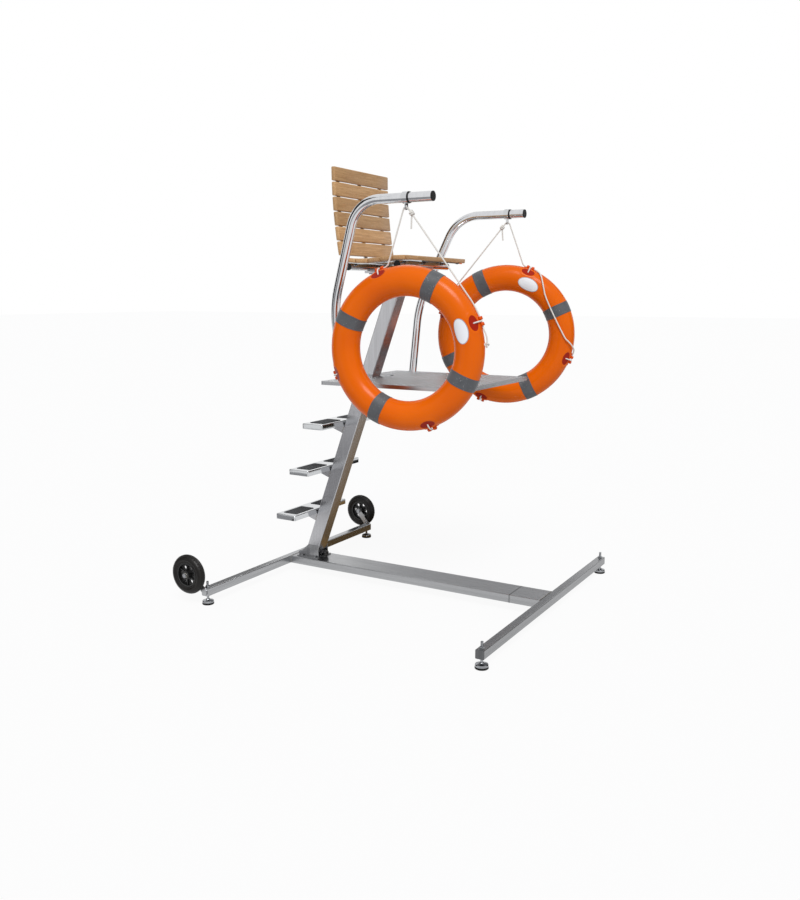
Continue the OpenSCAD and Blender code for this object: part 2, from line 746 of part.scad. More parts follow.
// Latch knob: a lobed grip on a screw along X
module knob_grip() {
    lobe_r = knob_d / 7;
    color("#181818") translate([knob_x0, 0, latch_z]) difference() {
        union() {
            rod_x(latch_d * 2, knob_collar_t + weld);
            translate([knob_collar_t, 0, 0]) rotate([90, 0, 90]) linear_extrude(height = knob_t) {
                circle(r = knob_d / 2 - 1.3 * lobe_r);
                for (i = [0:knob_lobes - 1]) rotate([0, 0, (i + 0.5) * 360 / knob_lobes])
                    translate([knob_d / 2 - lobe_r, 0]) circle(r = lobe_r);
            }
        }
        translate([-over, 0, 0]) rod_x(latch_d + 2 * fit, knob_t / 2 + over);
    }
}

module knob_screw() {
    screw_x0 = mast_front_x + latch_block_d / 2;
    color("gainsboro") translate([screw_x0, 0, latch_z])
        rod_x(latch_d, knob_x0 + knob_t / 2 - screw_x0);
}

// Mast

module mast_tube() {
    color("silver") intersection() {
        in_mast() translate([0, 0, -mast_top / 2]) box_tube(2 * mast_top, [mast_d, mast_w], mast_wall);
        translate([rear_x, -mast_w, foot_z1]) cube([base_length, 2 * mast_w, mast_top - foot_z1]);
    }
}

// Plate welded under the mast, with the middle knuckle and the latch block
module mast_foot() {
    plate_x0 = pin_x + knuckle_d / 2 + run_gap;
    color("darkgray") difference() {
        union() {
            translate([plate_x0, -mast_w / 2, foot_z0])
                cube([latch_block_x1 - plate_x0, mast_w, foot_plate_t]);
            translate([pin_x, -knuckle_w / 2, foot_z0])
                cube([plate_x0 - pin_x + weld, knuckle_w, foot_plate_t]);
            translate([pin_x, 0, pin_z]) rod_y(knuckle_d, knuckle_w);
            difference() {
                translate([mast_front_x - latch_block_d / 2, -latch_block_w / 2, foot_z0])
                    cube([1.5 * latch_block_d, latch_block_w, latch_block_h + foot_plate_t]);
                mast_block(0, over);
            }
        }
        translate([pin_x, 0, pin_z]) rod_y(pin_d + 2 * fit, 2 * knuckle_w);
        translate([mast_front_x, 0, latch_z]) rod_x(latch_d + 2 * fit, 2 * latch_block_d);
    }
}

// Plate on the mast's top, with a saddle for each cross tube of the seat
module mast_head() {
    x0 = rear_tube_x - saddle_len / 2;
    color("silver") difference() {
        union() {
            translate([x0, -head_w / 2, mast_top])
                cube([front_tube_x + saddle_len / 2 - x0, head_w, head_t]);
            for (x = [rear_tube_x, front_tube_x]) translate([x - saddle_len / 2, -head_w / 2, head_z1])
                cube([saddle_len, head_w, seat_tube_z(x) - seat_tube_d / 4 - head_z1]);
        }
        for (x = [rear_tube_x, front_tube_x]) {
            translate([x, 0, seat_tube_z(x)]) rod_y(seat_tube_d + 2 * fit, 2 * head_w);
            for (s = [-1, 1]) translate([x, s * saddle_bolt_y, mast_top - over])
                cylinder(h = seat_tube_z(x) - mast_top + over, d = bolt_d + 2 * fit);
        }
    }
}

// Treads

module tread(i) {
    color("lightgray") translate([tread_x1(i) - tread_d / 2, 0, tread_top(i) - tread_h]) difference() {
        linear_extrude(height = tread_h) rounded_rect([tread_d, tread_w], tread_corner);
        translate([0, 0, -over]) linear_extrude(height = tread_h - tread_t + over)
            rounded_rect([tread_d - 2 * tread_t, tread_w - 2 * tread_t], tread_corner - tread_t);
    }
}

// Web plate and two gusset cheeks under a tread, welded to the rear of the mast
module tread_bracket(i) {
    z1 = tread_top(i) - tread_h;
    x0 = tread_x1(i) - tread_d;
    difference() {
        union() {
            translate([x0, -mast_w / 2, z1 - gusset_t]) cube([tread_d + mast_d / 2, mast_w, gusset_t]);
            for (s = [-1, 1]) translate([0, s * (mast_w - gusset_t) / 2 + gusset_t / 2, 0])
                rotate([90, 0, 0]) linear_extrude(height = gusset_t)
                    polygon([[x0 + 2 * tread_corner, z1 - gusset_t],
                        [tread_x1(i) + mast_d / 2, z1 - gusset_t],
                        [mast_rear_x(z1 - gusset_h) + mast_d / 2, z1 - gusset_h],
                        [mast_rear_x(z1 - gusset_h) - over, z1 - gusset_h]]);
        }
        mast_block(0, over);
    }
}

module tread_brackets() {
    color("silver") for (i = [0:2]) tread_bracket(i);
}

module grip_pads() {
    color("#383838") for (i = [0:2], s = [-1, 1])
        translate([tread_x1(i) - tread_d / 2, s * pad_y, tread_top(i)])
            linear_extrude(height = pad_t) rounded_rect([pad_w, pad_len], pad_corner);
}

// Platform

// Places of the bolts that hold the platform to its bearers
bearer_bolt_xs = [mast_x + (platform_h - foot_z1) * tan(lean) + mast_half + bearer_bolt_in,
    bearer_x0 + bearer_len - bearer_bolt_in];
bearer_y = mast_w / 2 + bearer_w / 2;

module platform() {
    color("lightgray") difference() {
        translate([platform_x0 + platform_len / 2, 0, platform_h - platform_edge]) difference() {
            linear_extrude(height = platform_edge)
                rounded_rect([platform_len, platform_w], platform_corner);
            translate([0, 0, -over]) linear_extrude(height = platform_edge - platform_t + over)
                rounded_rect([platform_len - 2 * platform_t, platform_w - 2 * platform_t],
                    platform_corner - platform_t);
        }
        mast_block(run_gap, run_gap);
        for (x = bearer_bolt_xs, s = [-1, 1]) translate([x, s * bearer_y, platform_z0 - over])
            cylinder(h = platform_t + 2 * over, d = bolt_d + 2 * fit);
        for (s = [-1, 1]) translate([arm_foot_x, s * arm_foot_y, platform_z0 - over])
            cylinder(h = platform_t + 2 * over, d = arm_bolt_d + 2 * fit);
    }
}

module platform_bearers() {
    color("silver") both_sides() difference() {
        translate([bearer_x0, bearer_y, platform_z0 - bearer_h / 2])
            box_tube_x(bearer_len, [bearer_w, bearer_h], bar_wall);
        for (x = bearer_bolt_xs) translate([x, bearer_y, platform_z0 - bearer_h / 2])
            cylinder(h = bearer_h, d = bolt_d + 2 * fit);
    }
}

// Bolts of the upper frame: platform, arm tube feet and seat saddles
module frame_bolts() {
    color("gainsboro") {
        for (x = bearer_bolt_xs, s = [-1, 1]) translate([x, s * bearer_y, 0]) {
            translate([0, 0, platform_h]) cylinder(h = bolt_head_t, d = bolt_head_d);
            translate([0, 0, platform_h - 2 * bolt_d]) cylinder(h = 2 * bolt_d + weld, d = bolt_d);
        }
        for (s = [-1, 1]) translate([arm_foot_x, s * arm_foot_y, 0]) {
            translate([0, 0, platform_z0 - bolt_head_t]) cylinder(h = bolt_head_t, d = bolt_head_d);
            translate([0, 0, platform_z0 - weld])
                cylinder(h = platform_t + arm_foot_disc_t + weld, d = arm_bolt_d);
        }
        for (x = [rear_tube_x, front_tube_x], s = [-1, 1]) translate([x, s * saddle_bolt_y, 0]) {
            translate([0, 0, mast_top - bolt_head_t]) cylinder(h = bolt_head_t, d = bolt_head_d);
            translate([0, 0, mast_top - weld])
                cylinder(h = seat_tube_z(x) - mast_top, d = bolt_d);
        }
    }
}

// Arm tubes

// A bend that starts at the origin along +Z and turns toward +X
module tube_bend(r, angle, d, wall) {
    translate([r, 0, 0]) rotate([0, 0, 180]) rotate([90, 0, 0]) rotate_extrude(angle = angle)
        translate([r, 0]) difference() {
            circle(d = d);
            circle(d = d - 2 * wall);
        }
}

// The whole bent tube in its own plane: leg, lower bend, slope, upper bend, arm
module arm_run(d, wall) {
    translate([0, 0, -d]) round_tube(arm_leg + d, d, wall);
    translate([0, 0, arm_leg]) {
        tube_bend(arm_bend_r, arm_bend, d, wall);
        translate([arm_bend_r * (1 - cos(arm_bend)), 0, arm_bend_r * sin(arm_bend)])
            rotate([0, arm_bend, 0]) {
                round_tube(arm_mid_len, d, wall);
                translate([0, 0, arm_mid_len]) {
                    tube_bend(arm_top_r, arm_top_angle, d, wall);
                    translate([arm_top_r * (1 - cos(arm_top_angle)), 0,
                        arm_top_r * sin(arm_top_angle)])
                        rotate([0, arm_top_angle, 0]) round_tube(arm_end_len, d, wall);
                }
            }
    }
}

// The left arm tube, cut level on the platform, with a threaded disc in its foot
module arm_tube() {
    color("gainsboro") difference() {
        translate([arm_foot_x, arm_foot_y, platform_h]) rotate([-splay, 0, 0]) arm_run(arm_d, arm_wall);
        translate([arm_foot_x - arm_reach, 0, platform_h - 4 * arm_d])
            cube([2 * arm_reach, platform_w, 4 * arm_d]);
    }
    color("gainsboro") difference() {
        intersection() {
            translate([arm_foot_x, arm_foot_y, platform_h]) rotate([-splay, 0, 0])
                translate([0, 0, -arm_d]) cylinder(h = 3 * arm_d, d = arm_d - arm_wall);
            translate([arm_foot_x - arm_d, arm_foot_y - arm_d, platform_h])
                cube([2 * arm_d, 2 * arm_d, arm_foot_disc_t]);
        }
        translate([arm_foot_x, arm_foot_y, platform_h - over])
            cylinder(h = arm_foot_disc_t + 2 * over, d = arm_bolt_d + 2 * fit);
    }
}

module arm_end_plugs() {
    color("#282828") both_sides() translate([arm_tip_x, arm_top_y, arm_top_z]) {
        rod_x(arm_d, plug_rim);
        translate([-plug_insert, 0, 0]) rod_x(arm_d - 2 * arm_wall - 2 * fit, plug_insert + weld);
    }
}

// Rubber ring on each arm tube, which keeps the collar from sliding to the tip
module collar_stops() {
    color("#202020") for (s = [-1, 1])
        translate([(s > 0 ? collar_x_left : collar_x_right) + collar_w / 2, s * arm_top_y, arm_top_z])
            rotate([0, 90, 0]) round_tube(stop_w, arm_d + 2 * stop_t, stop_t - collar_fit);
}

// Collar round an arm tube, with an eye plate under it for the sling rope
module rope_collar(x, y) {
    color("lightgray") translate([x, y, 0]) difference() {
        union() {
            translate([-collar_w / 2, 0, arm_top_z]) rod_x(arm_d + 2 * collar_t, collar_w);
            translate([-eye_plate_t / 2, 0, eye_z]) rod_x(eye_rim_d, eye_plate_t);
            translate([-eye_plate_t / 2, -eye_rim_d / 2, eye_z])
                cube([eye_plate_t, eye_rim_d, arm_top_z - eye_z]);
        }
        translate([-collar_w, 0, arm_top_z]) rod_x(arm_d + 2 * collar_fit, 2 * collar_w);
        translate([-collar_w, 0, eye_z]) rod_x(eye_d, 2 * collar_w);
        for (s = [0, 1]) mirror([s, 0, 0])
            translate([eye_plate_t / 2 - eye_bevel_w, 0, eye_z]) rotate([0, 90, 0])
                cylinder(h = 2 * eye_bevel_w, d1 = eye_d, d2 = eye_d + 4 * eye_bevel_w);
    }
}

// Seat

// Points beside a path, at the distance d to its left, with mitred corners
function beside(path, d) = [for (i = [0:len(path) - 1])
    let (a = path[max(i - 1, 0)], b = path[min(i + 1, len(path) - 1)], p = path[i],
        u = (p - a) / max(norm(p - a), weld / 1000), v = (b - p) / max(norm(b - p), weld / 1000),
        t = (u + v) / norm(u + v), n = [-t[1], t[0]],
        w = i == 0 || i == len(path) - 1 ? 1 : n * [-v[1], v[0]])
    p + n * d / w];

// Bent strap in the XZ plane, drawn centred on y
module strap(y) {
    translate([0, y + strap_w / 2, 0]) rotate([90, 0, 0]) linear_extrude(height = strap_w)
        polygon(concat(beside(strap_path, strap_t / 2),
            [for (i = [len(strap_path) - 1:-1:0]) beside(strap_path, -strap_t / 2)[i]]));
}

// Places a slat between two points of the strap path: x along it, y across, z away from it
module on_strap(a, b) {
    translate([(a[0] + b[0]) / 2, 0, (a[1] + b[1]) / 2])
        rotate([0, -atan2(b[1] - a[1], b[0] - a[0]), 0]) children();
}

module slat(a, b) {
    on_strap(a, b) difference() {
        translate([0, seat_w / 2, strap_t / 2 + slat_t / 2 + slat_rest]) rotate([90, 0, 0])
            linear_extrude(height = seat_w)
                rounded_rect([norm(b - a) - slat_gap, slat_t], slat_corner);
        for (y = strap_ys) translate([slat_screw_shift, y, 0])
            cylinder(h = slat_screw_tip, d = slat_screw_d + 2 * fit);
    }
}

module seat_slats() {
    color("#c49a5c") for (i = [0:slat_count - 1]) slat(seat_pt(i), seat_pt(i + 1));
}

// The back's slats lie in front of the straps, so they are placed from the top down
module back_slats() {
    color("#c49a5c") for (i = [0:slat_count - 1]) slat(back_pt(i + 1), back_pt(i));
}

// Places children under every slat, at each strap
module at_slat_screws() {
    for (i = [0:slat_count - 1], y = strap_ys) {
        on_strap(seat_pt(i), seat_pt(i + 1)) translate([slat_screw_shift, y, 0]) children();
        on_strap(back_pt(i + 1), back_pt(i)) translate([slat_screw_shift, y, 0]) children();
    }
}

module slat_screws() {
    color("gainsboro") at_slat_screws() {
        translate([0, 0, -strap_t / 2 - slat_screw_head_t])
            cylinder(h = slat_screw_head_t, d = slat_screw_head_d);
        translate([0, 0, -strap_t / 2 - weld])
            cylinder(h = slat_screw_tip + strap_t / 2 + weld, d = slat_screw_d);
    }
}

// Three bent straps welded to two cross tubes
module seat_frame() {
    color("silver") difference() {
        union() {
            for (y = strap_ys) strap(y);
            for (x = [rear_tube_x, front_tube_x]) translate([x, 0, seat_tube_z(x)])
                rod_y(seat_tube_d, seat_w);
        }
        for (x = [rear_tube_x, front_tube_x]) {
            translate([x, 0, seat_tube_z(x)])
                rod_y(seat_tube_d - 2 * seat_tube_wall, seat_w + 2 * over);
            for (s = [-1, 1]) translate([x, s * saddle_bolt_y, mast_top])
                cylinder(h = seat_tube_z(x) - mast_top, d = bolt_d + 2 * fit);
        }
        at_slat_screws() translate([0, 0, -strap_t]) cylinder(h = 2 * strap_t, d = slat_screw_d + 2 * fit);
    }
}

module seat_tube_caps() {
    insert_d = seat_tube_d - 2 * seat_tube_wall - 2 * fit;
    color("gray") both_sides() for (x = [rear_tube_x, front_tube_x])
        translate([x, seat_w / 2, seat_tube_z(x)]) {
            rod_y(seat_tube_d, cap_t, cap_t / 2);
            rod_y(insert_d, cap_insert, -cap_insert / 2 + weld);
        }
}

// Life rings

// Places a ring's pieces where its rope lies in the eye: x forward along the ring's
// plane, z up
module at_eye(side) {
    translate([side > 0 ? collar_x_left : collar_x_right, side * arm_top_y, rope_top_z])
        rotate([0, 0, side > 0 ? left_turn : right_turn])
            mirror([side > 0 ? 1 : 0, 0, 0]) children();
}

// Places a ring's pieces at its middle, with the ring's axis along their own Z
module in_ring(side) {
    at_eye(side) translate([0, 0, side > 0 ? -left_drop : -right_drop]) rotate([90, 0, 0]) children();
}

// Section of the ring, with the ring's axis along Y; grow makes it thicker
module ring_section(grow) {
    for (s = [-1, 1]) translate([ring_mid_r + s * ring_flat, 0]) circle(r = ring_round_r + grow);
    translate([ring_mid_r, 0]) square([2 * ring_flat, 2 * ring_round_r + 2 * grow], center = true);
}

module life_ring(side) {
    color("#f06a12") in_ring(side) rotate_extrude() difference() {
        ring_section(0);
        ring_section(-ring_wall);
    }
}

module ring_bands(side) {
    color("#6a6e72") in_ring(side) for (a = ring_quarters)
        rotate([0, 0, a + band_start - band_angle / 2]) rotate_extrude(angle = band_angle)
            difference() {
                ring_section(band_gap + band_t);
                ring_section(band_gap);
            }
}

module ring_lugs(side) {
    color("#e04818") in_ring(side) for (a = ring_quarters)
        rotate([0, 0, a + lug_start - lug_angle / 2]) rotate_extrude(angle = lug_angle)
            difference() {
                translate([ring_d / 2 - lug_base_drop, -lug_w / 2])
                    square([lug_base_drop + lug_rise, lug_w]);
                ring_section(band_gap);
                translate([rope_run_r, 0]) circle(d = rope_bore_d);
            }
}

// Round rope along a list of points, as one closed tube
function tangent(pts, i) = let (a = pts[max(i - 1, 0)], b = pts[min(i + 1, len(pts) - 1)])
    (b - a) / norm(b - a);
function rope_ring(pts, i, ref) = let (t = tangent(pts, i), c = cross(t, ref),
    n = c / norm(c), m = cross(n, t))
    [for (k = [0:rope_sides - 1]) pts[i] + rope_d / 2 *
        (cos(k * 360 / rope_sides) * n + sin(k * 360 / rope_sides) * m)];

module rope(pts, ref) {
    last = len(pts) - 1;
    polyhedron(
        points = [for (i = [0:last]) each rope_ring(pts, i, ref)],
        faces = concat(
            [[for (k = [0:rope_sides - 1]) k]],
            [for (i = [0:last - 1], k = [0:rope_sides - 1]) let (
                a = i * rope_sides + k, b = i * rope_sides + (k + 1) % rope_sides)
                each [[a, a + rope_sides, b], [b, a + rope_sides, b + rope_sides]]],
            [[for (k = [rope_sides - 1:-1:0]) last * rope_sides + k]]));
}

module ring_rope(side) {
    color("white") at_eye(side) {
        rope(side > 0 ? rope_left : rope_right, [0, 1, 0]);
        rope(hitch_rope, leg_step);
    }
}

centre_beam();
front_stub();
cross_bar(front_x, front_bar_len);  // front_cross_bar
cross_bar(rear_x, rear_bar_len);  // rear_cross_bar
bar_end_caps();
foot_bushes();
lock_nuts();
wheel_arm();  // wheel_arm_left
mirror([0, 1, 0]) wheel_arm();  // wheel_arm_right
wheel_axles();
mast_shoe();
hinge_pin();
shoe_bolts();
foot_spindle(foot_front_left);  // foot_spindle_front_left
foot_spindle(foot_front_right);  // foot_spindle_front_right
foot_spindle(foot_rear_left);  // foot_spindle_rear_left
foot_spindle(foot_rear_right);  // foot_spindle_rear_right
foot_sole(foot_front_left);  // foot_sole_front_left
foot_sole(foot_front_right);  // foot_sole_front_right
foot_sole(foot_rear_left);  // foot_sole_rear_left
foot_sole(foot_rear_right);  // foot_sole_rear_right
tyre();  // tyre_left
mirror([0, 1, 0]) tyre();  // tyre_right
rim();  // rim_left
mirror([0, 1, 0]) rim();  // rim_right
bearing();  // bearing_left
mirror([0, 1, 0]) bearing();  // bearing_right
knob_grip();
knob_screw();
mast_tube();
mast_foot();
mast_head();
tread(0);  // tread_1
tread(1);  // tread_2
tread(2);  // tread_3
tread_brackets();
grip_pads();
platform();
platform_bearers();
frame_bolts();
arm_tube();  // arm_tube_left
mirror([0, 1, 0]) arm_tube();  // arm_tube_right
arm_end_plugs();
collar_stops();
rope_collar(collar_x_left, arm_top_y);  // rope_collar_left
rope_collar(collar_x_right, -arm_top_y);  // rope_collar_right
seat_frame();
seat_tube_caps();
seat_slats();
back_slats();
slat_screws();
life_ring(1);  // life_ring_left
life_ring(-1);  // life_ring_right
ring_bands(1);  // ring_bands_left
ring_bands(-1);  // ring_bands_right
ring_lugs(1);  // ring_lugs_left
ring_lugs(-1);  // ring_lugs_right
ring_rope(1);  // ring_rope_left
ring_rope(-1);  // ring_rope_right
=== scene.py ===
import json
from math import ceil, cos, exp, hypot, pi, radians, sin, tan

import bmesh
import bpy
from mathutils import Matrix, Vector, noise


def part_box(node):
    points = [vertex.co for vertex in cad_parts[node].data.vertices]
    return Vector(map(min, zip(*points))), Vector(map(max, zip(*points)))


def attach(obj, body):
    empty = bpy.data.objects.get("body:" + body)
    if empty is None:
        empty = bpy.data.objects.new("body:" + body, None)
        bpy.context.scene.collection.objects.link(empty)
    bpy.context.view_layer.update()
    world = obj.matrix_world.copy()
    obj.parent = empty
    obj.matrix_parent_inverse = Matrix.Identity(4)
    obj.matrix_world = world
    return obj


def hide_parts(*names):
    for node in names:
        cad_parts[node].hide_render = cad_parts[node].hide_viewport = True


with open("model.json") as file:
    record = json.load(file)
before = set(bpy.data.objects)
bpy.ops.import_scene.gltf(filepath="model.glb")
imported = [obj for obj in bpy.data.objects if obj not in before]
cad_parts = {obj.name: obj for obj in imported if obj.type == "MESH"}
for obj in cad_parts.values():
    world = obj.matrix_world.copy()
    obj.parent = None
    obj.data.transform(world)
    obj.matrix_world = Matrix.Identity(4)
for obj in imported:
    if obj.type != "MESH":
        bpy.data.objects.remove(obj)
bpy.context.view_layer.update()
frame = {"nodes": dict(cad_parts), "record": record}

# Camera
# A tripod at head height, to the right and in front of the chair, as in the product
# photograph. The rear feet stand at REAR_X in the part's own frame.
REAR_X = -0.6795
camera = bpy.data.objects.new("camera", bpy.data.cameras.new("camera"))
bpy.context.scene.collection.objects.link(camera)
camera.data.lens = 36.21
camera.data.sensor_width = 36.0
camera.location = (REAR_X + 2.9856, -3.9271, 1.5015)
camera.rotation_euler = (radians(90 - 9.72), 0, radians(30.51))
bpy.context.scene.camera = camera


# Ring ropes
# One white braided polyester rope, 7 mm thick, holds each life ring: it comes out of a
# lug on the ring, goes up through the eye of the collar and down to the next lug. A
# hitch under the eye locks it, and its loose end hangs down.
def srgb(hex_colour):
    """Hex colour as the eye reads it, turned to linear light."""
    channels = [int(hex_colour[i:i + 2], 16) / 255 for i in (1, 3, 5)]
    return tuple(c / 12.92 if c <= 0.04045 else ((c + 0.055) / 1.055) ** 2.4
                 for c in channels) + (1.0,)


def add_node(tree, kind, settings=None, links=None):
    """Adds a node; settings go to its own values or its sockets, links to its sockets."""
    made = tree.nodes.new(kind)
    for name, value in (settings or {}).items():
        if isinstance(name, str) and hasattr(made, name):
            setattr(made, name, value)
        else:
            made.inputs[name].default_value = value
    for name, source in (links or {}).items():
        tree.links.new(source, made.inputs[name])
    return made


def start_material(name, roughness, metallic=0.0, **sockets):
    """A named material with its node tree, its surface shader and the piece's coordinates."""
    material = bpy.data.materials.new(name)
    material.use_nodes = True
    surface = material.node_tree.nodes["Principled BSDF"]
    surface.inputs["Roughness"].default_value = roughness
    surface.inputs["Metallic"].default_value = metallic
    for socket, value in sockets.items():
        surface.inputs[socket.replace("_", " ")].default_value = value
    place = add_node(material.node_tree, "ShaderNodeTexCoord").outputs["Object"]
    return material, material.node_tree, surface, place


def mottled(name, roughness, dark, light, patches, relief, **sockets):
    """A material whose tone drifts from dark to light, with a fine relief.

    patches is a noise's scale per metre and its detail; relief adds a strength and a height.
    """
    material, tree, surface, place = start_material(name, roughness, **sockets)
    drift = add_node(tree, "ShaderNodeTexNoise", {"Scale": patches[0], "Detail": patches[1]},
                     {"Vector": place})
    tone = add_node(tree, "ShaderNodeMix", {"data_type": "RGBA", 6: srgb(dark), 7: srgb(light)},
                    {0: drift.outputs["Fac"]})
    tree.links.new(tone.outputs[2], surface.inputs["Base Color"])
    scale, detail, strength, height = relief
    grain = add_node(tree, "ShaderNodeTexNoise", {"Scale": scale, "Detail": detail},
                     {"Vector": place})
    raised = add_node(tree, "ShaderNodeBump", {"Strength": strength, "Distance": height},
                      {"Height": grain.outputs["Fac"]})
    tree.links.new(raised.outputs["Normal"], surface.inputs["Normal"])
    return material


def loft(rings, round_trip=False):
    """Skins equal rings of points. The ends are capped, or joined for a round trip."""
    n = len(rings[0])
    points = [p for ring in rings for p in ring]
    faces = []
    for i in range(len(rings) if round_trip else len(rings) - 1):
        a, b = i * n, (i + 1) % len(rings) * n
        for k in range(n):
            faces.append((a + k, a + (k + 1) % n, b + (k + 1) % n, b + k))
    if not round_trip:
        faces += [tuple(reversed(range(n))), tuple(range(len(points) - n, len(points)))]
    return points, faces


def add_piece(name, shapes, material, body, sharp=35, place=None):
    """Makes one object of several (points, faces) shapes, which moves with a body."""
    mesh = bpy.data.meshes.new(name)
    work = bmesh.new()
    for points, faces in shapes:
        made = [work.verts.new(place @ Vector(p) if place else p) for p in points]
        for face in faces:
            work.faces.new([made[i] for i in face])
    bmesh.ops.recalc_face_normals(work, faces=work.faces)
    for face in work.faces:
        face.smooth = True
    work.to_mesh(mesh)
    work.free()
    mesh.set_sharp_from_angle(angle=radians(sharp))
    mesh.materials.append(material)
    piece = bpy.data.objects.new(name, mesh)
    bpy.context.scene.collection.objects.link(piece)
    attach(piece, body)
    return piece


def circle(count):
    """The cosine and sine of even steps round a circle."""
    return [(cos(2 * pi * k / count), sin(2 * pi * k / count)) for k in range(count)]


def smooth_route(points, step):
    """Points every step along a smooth curve through the given points."""
    points = [Vector(p) for p in points]
    ends = [2 * points[0] - points[1]] + points + [2 * points[-1] - points[-2]]
    route = [points[0]]
    for i in range(1, len(ends) - 2):
        p0, p1, p2, p3 = ends[i - 1:i + 3]
        pieces = max(1, ceil((p2 - p1).length / step))
        for k in range(1, pieces + 1):
            t = k / pieces
            route.append(0.5 * (2 * p1 + (p2 - p0) * t + (2 * p0 - 5 * p1 + 4 * p2 - p3) * t * t
                                + (3 * p1 - p0 - 3 * p2 + p3) * t ** 3))
    return route


def braided_tube(route, radius, closed=False):
    """A round braid along a route: its strands cross as two sets of low ridges."""
    strands, lay = 4, 7.5 * radius
    count = len(route)
    reach = [0.0]
    for a, b in zip(route, route[1:]):
        reach.append(reach[-1] + (b - a).length)
    # Any start direction does that no rope runs along
    across = Vector((0.31, 0.87, 0.39))
    rings = []
    for i, point in enumerate(route):
        before = route[(i - 1) % count] if closed or i else point
        after = route[(i + 1) % count] if closed or i < count - 1 else point
        ahead = (after - before).normalized()
        across = (across - ahead * across.dot(ahead)).normalized()
        other = ahead.cross(across)
        twist = 2 * pi * reach[i] / lay
        ring = []
        for k, (c, s) in enumerate(circle(16)):
            angle = 2 * pi * k / 16
            ridge = abs(sin(strands / 2 * (angle + twist)) * sin(strands / 2 * (angle - twist)))
            grown = radius * (0.95 + 0.07 * ridge ** 0.5)
            ring.append(point + grown * (c * across + s * other))
        rings.append(ring)
    return loft(rings, round_trip=closed)


# Braided polyester: off-white, dull and slightly hairy. Its fibres are drawn 1.2 mm apart,
# as the real ones are too fine to show.
rope_white = mottled("polyester_braid", 0.85, "#C9C5BC", "#F2EFE9", (1 / 0.0012, 2.0),
                     (1 / 0.0012, 2.0, 0.3, 0.0003), Sheen_Weight=0.2)

ROPE_D, ROPE_STEP = 0.007, 0.0016
hinges = {j["name"]: Vector(j["pos_m"]) for j in frame["record"]["behaviour"]["joints"]}
EYE = {1: hinges["ring_left_swing"], -1: hinges["ring_right_swing"]}
TURN = {1: radians(16), -1: radians(7)}
SIDE = {1: "left", -1: "right"}
# Routes in millimetres from the eye: forward along the ring's plane, out of it, up
EYE_BEND = [(-14, 0, -11), (-10, 0, -5), (-5, 0, -1), (0, 0, 0), (5, 0, -1), (10, 0, -5),
            (16, 0, -12)]
ROUTE = {
    -1: [(-143, 0, -264), (-125, 0, -257), (-107, 0, -251), (-99, 0, -248), (-92, 0, -244),
         (-87, 0, -238), (-83, 0, -230), (-49, 0, -122)] + EYE_BEND
    + [(100, 0, -124), (200, 0, -258), (285, 0, -372), (292, 0, -381), (306, 0, -401),
       (319, 0, -423), (331, 0, -446), (340, 0, -467), (345, 0, -480), (349, 0, -492),
       (355, 0, -508), (363, 0, -524), (369, 0, -541), (371, 0, -558), (369, 0, -574)],
    1: [(-346, 0, -688), (-354, 0, -669), (-360, -16, -650), (-357, -34, -634),
        (-347, -48, -617), (-332, -58, -600), (-312, -63.5, -576), (-258, -64, -474),
        (-214, -64, -379), (-201, -61.5, -333), (-193, -55, -299), (-186, -43, -275),
        (-174, -23, -256), (-151, 0, -240), (-134, 0, -233), (-107, 0, -224),
        (-99, 0, -221), (-92, 0, -217), (-87, 0, -211), (-83, 0, -203), (-49, 0, -107)]
    + EYE_BEND
    + [(100, 0, -116), (200, 0, -240), (276, 0, -333), (284, 0, -343), (299, 0, -364),
       (313, 0, -385), (325, 0, -407), (336, 0, -431)],
}
# The hitch's two and a half turns lie HITCH_LAY apart round the leg below the eye
HITCH_LAY, HITCH_BELOW, HITCH_STEPS, HITCH_TURNS = 7.84, 6, 24, 2.5
KNOT_SIZE = 0.0032


def at_eye(side):
    """Matrix from a ring's own upright plane, with the eye at its origin, to the chair."""
    return (Matrix.Translation(EYE[side]) @ Matrix.Rotation(TURN[side], 4, "Z")
            @ Matrix.Diagonal((-side, 1, 1, 1)))


for side in (-1, 1):
    place = at_eye(side)
    route = smooth_route([place @ (Vector(p) / 1000) for p in ROUTE[side]], ROPE_STEP)
    leg = Vector((84, 0, -108)).normalized()
    out = Vector((0, 1, 0))
    beside = leg.cross(out)
    turns = []
    for k in range(int(HITCH_STEPS * HITCH_TURNS) + 1):
        angle = 2 * pi * k / HITCH_STEPS
        turns.append(Vector(EYE_BEND[-1]) + leg * (HITCH_BELOW + HITCH_LAY * k / HITCH_STEPS)
                     + HITCH_LAY * (cos(angle) * beside + sin(angle) * out))
    # The loose end hangs from the last turn
    turns += [turns[-1] + Vector((-k, 7 * k / 6, -13 * k)) for k in (1, 2, 3, 4)]
    turns = smooth_route([place @ (p / 1000) for p in turns], ROPE_STEP)
    hitch = add_piece(f"rope_hitch_{SIDE[side]}", [braided_tube(turns, ROPE_D / 2)], rope_white,
                      f"ring_{SIDE[side]}")
    if side < 0:
        # A stopper knot keeps the loose end from slipping back through its lug
        knot = [route[-1] + KNOT_SIZE * Vector((sin(t) + 2 * sin(2 * t), 1.3 * sin(3 * t),
                                                cos(t) - 2 * cos(2 * t)))
                for t in (2 * pi * k / 60 for k in range(60))]
        add_piece("rope_end_knot_right",
                                    [braided_tube(knot, ROPE_D * 0.42, closed=True)],
                                    rope_white, "ring_right")
    rope = add_piece(f"ring_rope_braid_{SIDE[side]}", [braided_tube(route, ROPE_D / 2)],
                     rope_white, f"ring_{SIDE[side]}")
    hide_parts(f"ring_rope_{SIDE[side]}")


